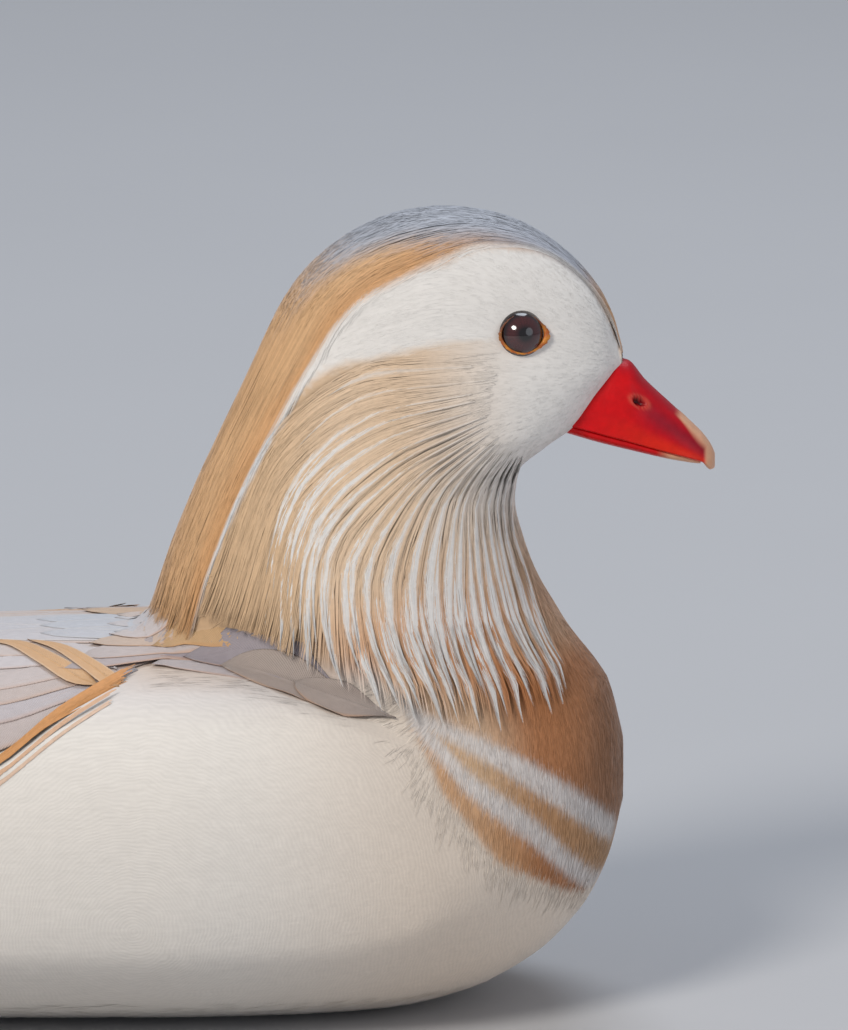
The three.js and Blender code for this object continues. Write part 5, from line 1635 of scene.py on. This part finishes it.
def sail(word, side):
    """One sail: a thin curved web with a ragged rim and coloured bands."""
    rows, columns = 121, 37
    u = np.linspace(0, 1, rows)[:, None]
    v = np.linspace(0, 1, columns)[None]
    root = [along_rows(SAIL_ROOT, k)(u) for k in (0, 1)]
    top = [along_rows(SAIL_TOP, k)(u) for k in (0, 1)]
    ragged = 1 - 0.03 * (0.5 + 0.5 * np.sin(u * 150 + 2 * np.sin(u * 37))) * v**8
    x = lerp(root[0], top[0], v * ragged) - 4 * np.sin(v * np.pi) * (1 - u)
    z = lerp(root[1] - 2.5, top[1], v * ragged)
    ripple = 0.3 * np.sin(u * 34 + 3 * v) * v + 0.16 * np.sin(u * 83 + 5 * v) * v
    out = lerp(SAIL_OUT[0], SAIL_OUT[1], v) + 3.5 * np.sin(u * np.pi) * v + ripple
    centre = np.stack([x, side * out, z + 0 * out], -1)
    normal = unit(np.cross(np.gradient(centre, axis=0), np.gradient(centre, axis=1)))
    normal = normal * np.sign(normal[..., 1:2]) * side
    thick = SAIL_THICK * (1 - 0.7 * v)[..., None]
    grid = there_and_back(centre + normal * thick, centre - normal * thick)
    # A white border runs along the top and down the rear edge, with a rusty band inside it. In front is a
    # pale shaft.
    barbs = np.sin(u * 120 + 5 * np.sin(u * 31) + 2 * v)
    rim = np.maximum(v + 0.012 * barbs, smooth(u, 0.84, 1.0) * (0.72 + 0.28 * smooth(v, 0.1, 0.5)))
    colour = mix(np.broadcast_to(APRICOT, centre.shape), DEEP_APRICOT, 0.7 * smooth(v + 0 * u, 0.25, 0.8))
    colour = mix(colour, RUST, 0.45 * smooth(rim, 0.74, 0.88))
    colour = mix(colour, CREAM, smooth(v + 0 * u, 0.3, 0.0) * 0.7)
    colour = mix(colour, WHITE, smooth(rim, 0.9, 0.94))
    colour = mix(colour, WHITE, smooth(u + 0 * v, 0.07, 0.03) * 0.85)
    colour = colour * (1 + 0.07 * barbs * (v > 0.05))[..., None]
    bake = [np.stack(np.broadcast_arrays(u * 0.98, part), -1) for part in (v * 0.49, 0.5 + v[:, ::-1] * 0.49)]
    flat = np.stack(np.broadcast_arrays(0.35 * (v * 50), u * 70), -1)
    maps = {"OFBake": np.concatenate(bake, 1).reshape(-1, 2), "Vane": there_and_back(flat).reshape(-1, 2)}
    made = make_piece(
        f"sail_feather_{word}", grid.reshape(-1, 3), [plate_faces(rows, columns)], sail_material,
        there_and_back(colour).reshape(-1, 3), maps,
    )
    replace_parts(made, f"sail_{word}")


# Along the flank's upper edge lies an apricot border, with two finer lines under it.
border_height = through(
    [[-64, 43], [-40, 48], [-20, 53], [0, 57.5], [19.8, 63.7], [26.3, 67.7], [32.8, 71.9], [38.3, 74.5]]
    + [[43.7, 76.6], [47.8, 78], [54, 79.2]]
)


# How many strands each line has, how far it lies under the edge, and its half height.
BORDER_LINES = [(1500, 0.0, 1.2), (420, 2.9, 0.32), (420, 4.6, 0.28)]


def flank_border(word, side):
    """Short strands that lie along the border's lines, as one piece."""
    count = sum(row[0] for row in BORDER_LINES)
    under = [np.full(n, middle) + wide * rng.uniform(-1, 1, n) for n, middle, wide in BORDER_LINES]
    under = np.concatenate(under)[:, None]
    strong = np.concatenate([np.full(n, 1 - 0.1 * middle) for n, middle, _ in BORDER_LINES])[:, None]
    front = rng.uniform(-54, 49, (count, 1)) - 0.8 * under
    a = np.linspace(0, 1, 3)[None]
    x = front - 9 * a
    z = border_height(x) - under * lerp(0.75, 1.0, smooth(x, 50, 30))
    p, n = over_body(x, body.angle(x, z), side)
    height = lerp(0.5, 1.0, smooth(x, 22, 40)) * smooth(under, 1.5, -0.4) + 0.15
    p = raised(p, n, height, wing_field)
    colour = mix(CREAM, DEEP_APRICOT, strong * smooth(x, -60, -30)) * noise_of((count, 1, 1), 0.07)
    half = rng.uniform(0.1, 0.17, (count, 1)) + 0 * x
    name = f"flank_border_{word}"
    strands(name, p, n, half, half * 0.3, colour, p[:, 0], short_feathers)


def back():
    """Feathers along the middle of the back, over the inner edges of both wings."""
    feathers = []
    s = np.linspace(0, 1, 16)
    for x0 in np.linspace(-36, 100, 10):
        for y in (-7, 7, 0):
            x = x0 - 40 * s - 3 * rng.random()
            angle = body.angle_out(x, np.full(len(s), max(abs(y), 0.5)))
            half = 6 * rng.uniform(0.94, 1.05)
            # Pale lilac tinted with painted sky reflection.
            colour = web(mix(SKY_REFLECTION_WHITE, LILAC, 0.3 + 0.5 * rng.random()), CREAM, 0.3, dark=0.2)
            place = over_body(x, angle, -1 if y < 0 else 1)
            feathers.append(feather(place, half, 4.4, 0.58, WEB_THICK, colour, lift=(0.1, 0.45, 0.6)))
    vanes("back_feathers", feathers, vane_material("back_web"), wing_field)


sail_material = vane_material("sail_web", 0.25, 0.45)
back()
for word, side in SIDES:
    wing(word, side)
    sail(word, side)
    flank_border(word, side)


# Tail: a fan of feathers with coverts over and under their roots. For each row of coverts: x of root and tip,
# z of both, y of the outermost tip, and how many.
UPPER_COVERTS = [
    (-104, -150, 56.3, 65.2, 15, 7),
    (-94, -136, 57.5, 63.8, 14, 6),
    (-82, -120, 60, 62.5, 14, 6),
]
UNDER_COVERTS = [
    (-100, -142, 48, 57.5, 12, 6),
    (-90, -128, 44.5, 53, 12, 6),
    (-80, -112, 38, 47, 12, 6),
]


def tail():
    """The fan and the coverts as one piece."""
    feathers = []
    s = np.linspace(0, 1, 16)[:, None]

    def add(root, tip, half, tilt, base, arch):
        centre = lerp(np.array(root, float), np.array(tip, float), s)
        centre[:, 2] += arch * np.sin(s[:, 0] * np.pi)
        place = centre, np.broadcast_to(unit(np.array([0.18, tilt, 1.0])), centre.shape)
        colour = web(base, CREAM, 0.4, shaft=0.5, dark=0.25)
        feathers.append(feather(place, half, 6, 0.5, QUILL_THICK, colour, camber=0.012))

    for share in np.linspace(1, 0, 7):
        for side in (1, -1):
            add(
                (-106, side * lerp(2.5, 12, share), lerp(55.5, 51.5, share)),
                (-174 + 25 * share**2, side * lerp(3.6, 25, share), lerp(66.3, 60, share)),
                6.2, side * lerp(0.05, 0.3, share), mix(WHITE, LILAC, 0.2 + 0.4 * rng.random()), 0.6,
            )
    for x0, x1, z0, z1, spread, count in UPPER_COVERTS:
        for y in np.linspace(-1, 1, count):
            root = (x0, 13 * y, z0 - 3 * y * y)
            tip = (x1 + 8 * y * y, spread * y, z1 - 3.4 * y * y)
            add(root, tip, 5.6, 0.3 * y, mix(WHITE, CREAM, rng.random()), 0.8)
    for x0, x1, z0, z1, spread, count in UNDER_COVERTS:
        for y in np.linspace(-1, 1, count):
            root = (x0, 13 * y, z0 + 3 * y * y)
            tip = (x1 + 6 * y * y, spread * y, z1 + 2.5 * y * y)
            add(root, tip, 5.8, -0.25 * y, mix(WHITE, CREAM, rng.random()), -0.8)
    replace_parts(vanes("tail_feathers", feathers, vane_material("tail_web")), "tail")


tail()


# Legs and webbed feet, folded beside the belly, with the points of the left one. Each toe has x and y of its
# tip and its half thickness.
FOOT_JOINT = np.array([-56, 35, 3.2])
SHANK = [[-75.5, 30.5, 10], [-76, 31, 7.5], [-72, 32, 5], [-65, 33.6, 3.6], FOOT_JOINT]
HIND_TOE = [FOOT_JOINT, [-61, 30, 2.2], [-64, 28, 1.6]]
HIND_CLAW = [[-63.6, 28.2, 1.5], [-65.6, 27, 1.2], [-67, 26.4, 0.6]]
TOES = [[-27, 29.5, 1.6], [-19, 37, 1.8], [-26, 44.5, 1.6]]
LEG_COLOUR = linear(228, 160, 66)
WEB_COLOUR = linear(206, 134, 66)
CLAW_COLOUR = linear(120, 92, 70)
FOOT_FLOOR = 0.02
WEB_HEIGHT, FOOT_WEB_THICK = 1.1, 0.7
leg_material = scale_material()
claw_material = horn_material("claw_horn", 0.35, 0.2, 1500.0, 0.00004)


def tube(points, radii, rows, columns, wave=0.0, waves=0):
    """Rings round a smooth line through points, with ridges across it, kept above the floor."""
    s = np.linspace(0, 1, rows)
    centre = np.stack([along_rows(points, k)(s) for k in range(3)], -1)
    radius = along_rows([[r] for r in radii], 0)(s)
    radius = radius * (1 + wave * np.abs(np.sin(s * np.pi * waves)))
    ahead = unit(np.gradient(centre, axis=0))
    across = unit(np.cross(ahead, [0, 0, 1]))
    over = np.cross(across, ahead)
    turn = np.linspace(0, 2 * np.pi, columns, endpoint=False)
    ring = (
        centre[:, None]
        + across[:, None] * (radius[:, None] * np.cos(turn))[..., None]
        + over[:, None] * (radius[:, None] * np.sin(turn))[..., None]
    )
    ring[..., 2] = np.maximum(ring[..., 2], FOOT_FLOOR)
    return ring


def joined(name, tubes, colour, material, plates=()):
    """Closed tubes, and webs where given, as one mesh."""
    points, quads, tris, tints, start = [], [], [], [], 0
    for rings in tubes:
        around, ends = tube_faces(*rings.shape[:2])
        points.append(with_ends(rings))
        quads.append(around[:, ::-1] + start)
        tris.append(ends[:, ::-1] + start)
        tints.append(np.broadcast_to(colour, points[-1].shape))
        start += len(points[-1])
    for grid, faces in plates:
        points.append(grid)
        quads.append(faces + start)
        tints.append(np.broadcast_to(WEB_COLOUR, grid.shape))
        start += len(grid)
    faces = [np.concatenate(quads), np.concatenate(tris)]
    return make_piece(name, np.concatenate(points), faces, material, np.concatenate(tints))


def foot_web(side, a, b):
    """The thin web between two toes, with a hollowed front edge: its points and its faces."""
    rows, columns = 16, 13
    s = np.linspace(0.06, 1, rows)[:, None]
    v = np.linspace(0, 1, columns)[None]
    ends = [np.array([t[0], t[1] * side, 0.0]) for t in (a, b)]
    joint = FOOT_JOINT * [1, side, 0]
    left = lerp(joint, ends[0], s[..., None])
    right = lerp(joint, ends[1], s[..., None])
    top = lerp(left, right, v[..., None])
    top[..., 0] -= 5 * s**2 * np.sin(v * np.pi)
    top[..., 2] = WEB_HEIGHT + 0.25 * np.sin(v * np.pi * 4) * s + 0.2 * np.sin(s * 20)
    quads = plate_faces(rows, columns)
    grid = there_and_back(top, top - [0, 0, FOOT_WEB_THICK]).reshape(-1, 3)
    return grid, quads if side < 0 else quads[:, ::-1]


def leg(word, side):
    """One leg with its toes and webs as one piece, and its claws as another."""
    flip = np.array([1, side, 1])
    tubes = [tube(np.array(SHANK) * flip, [4.2, 3.4, 2.9, 2.9, 3.0], 40, 20, 0.04, 22)]
    tubes.append(tube(np.array(HIND_TOE) * flip, [2.2, 1.6, 1.1], 16, 12, 0.05, 6))
    claws = [tube(np.array(HIND_CLAW) * flip, [0.85, 0.6, 0.12], 8, 10)]
    for x, y, thick in TOES:
        tip = np.array([x, y, 1.7])
        middle = lerp(FOOT_JOINT, tip, 0.5)
        middle[2] = 2.3
        radii = [2.8, thick, thick * 0.95, thick * 1.05, thick * 0.8]
        tubes.append(tube(np.array([FOOT_JOINT, middle, tip]) * flip, radii, 48, 16, 0.06, 20))
        reach = unit(tip - FOOT_JOINT)
        nail = [tip + reach * 0.2, tip + reach * 2.6 + [0, 0, 0.3], tip + reach * 4.6 + [0, 0, -1.0]]
        claws.append(tube(np.array(nail) * flip, [1.15, 0.85, 0.15], 10, 12))
    webs = [foot_web(side, TOES[i], TOES[i + 1]) for i in (0, 1)]
    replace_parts(joined(f"foot_{word}", tubes, LEG_COLOUR, leg_material, webs), f"leg_{word}")
    joined(f"claws_{word}", claws, CLAW_COLOUR, claw_material)


for word, side in SIDES:
    leg(word, side)


# Floor, light and camera.
def paper():
    """Matt paper, a little uneven."""
    material, tree, shader, _ = surface("floor_paper", 0.9, 0.2)
    noise = noise_at(tree, place_of(tree), 6.0, 4.0)
    colour = shaded(tree, tuple(linear(196, 196, 198)), noise, 0.98, 1.02, 0.0, 1.0)
    tree.links.new(colour, shader.inputs["Base Color"])
    return material


floor_mesh = bpy.data.meshes.new("floor")
FLOOR_CORNERS = [(-6, -6, 0), (6, -6, 0), (6, 12, 0), (-6, 12, 0)]  # in metres
floor_mesh.from_pydata(FLOOR_CORNERS, [], [(0, 1, 2, 3)])
floor_mesh.materials.append(paper())
floor = bpy.data.objects.new("floor", floor_mesh)
bpy.context.scene.collection.objects.link(floor)

MIDDLE = Vector((0.112, 0, 0.1069))  # what the middle of the picture shows
LIT = Vector((0.06, 0, 0.08))  # what the lights point at


def light(name, place, size, power, colour):
    data = bpy.data.lights.new(name, "AREA")
    data.shape = "DISK"
    data.size = size
    data.energy = power
    data.color = colour
    lamp = bpy.data.objects.new(name, data)
    lamp.location = place
    lamp.rotation_euler = (LIT - Vector(place)).to_track_quat("-Z", "Y").to_euler()
    bpy.context.scene.collection.objects.link(lamp)


# Each light has a place and a size in metres, a power in watts and a colour.
light("key", (-0.9, -1.5, 1.5), 0.7, 28, (1.0, 0.96, 0.9))
light("fill", (1.8, -1.2, 0.7), 1.6, 6, (0.86, 0.92, 1.0))
light("top", (0.3, 0.9, 1.9), 1.2, 17, (0.84, 0.91, 1.0))
world = bpy.data.worlds.new("studio")
bpy.context.scene.world = world
world.use_nodes = True
background = world.node_tree.nodes["Background"]
background.inputs["Color"].default_value = (0.85, 0.9, 1.0, 1)
background.inputs["Strength"].default_value = 0.3

ELEVATION = math.radians(12)
LENS, SENSOR = 400, 36
VIEW_HEIGHT = 0.2239  # of what the picture's height shows, at the bird
camera_data = bpy.data.cameras.new("camera")
camera_data.lens = LENS
camera_data.sensor_width = SENSOR
camera_data.clip_end = 60
camera = bpy.data.objects.new("camera", camera_data)
toward = Vector((0, -math.cos(ELEVATION), math.sin(ELEVATION)))
camera.location = MIDDLE + toward * (VIEW_HEIGHT * LENS / SENSOR)
camera.rotation_euler = (-toward).to_track_quat("-Z", "Y").to_euler()
bpy.context.scene.collection.objects.link(camera)
bpy.context.scene.camera = camera
bpy.context.scene.view_settings.view_transform = "Standard"
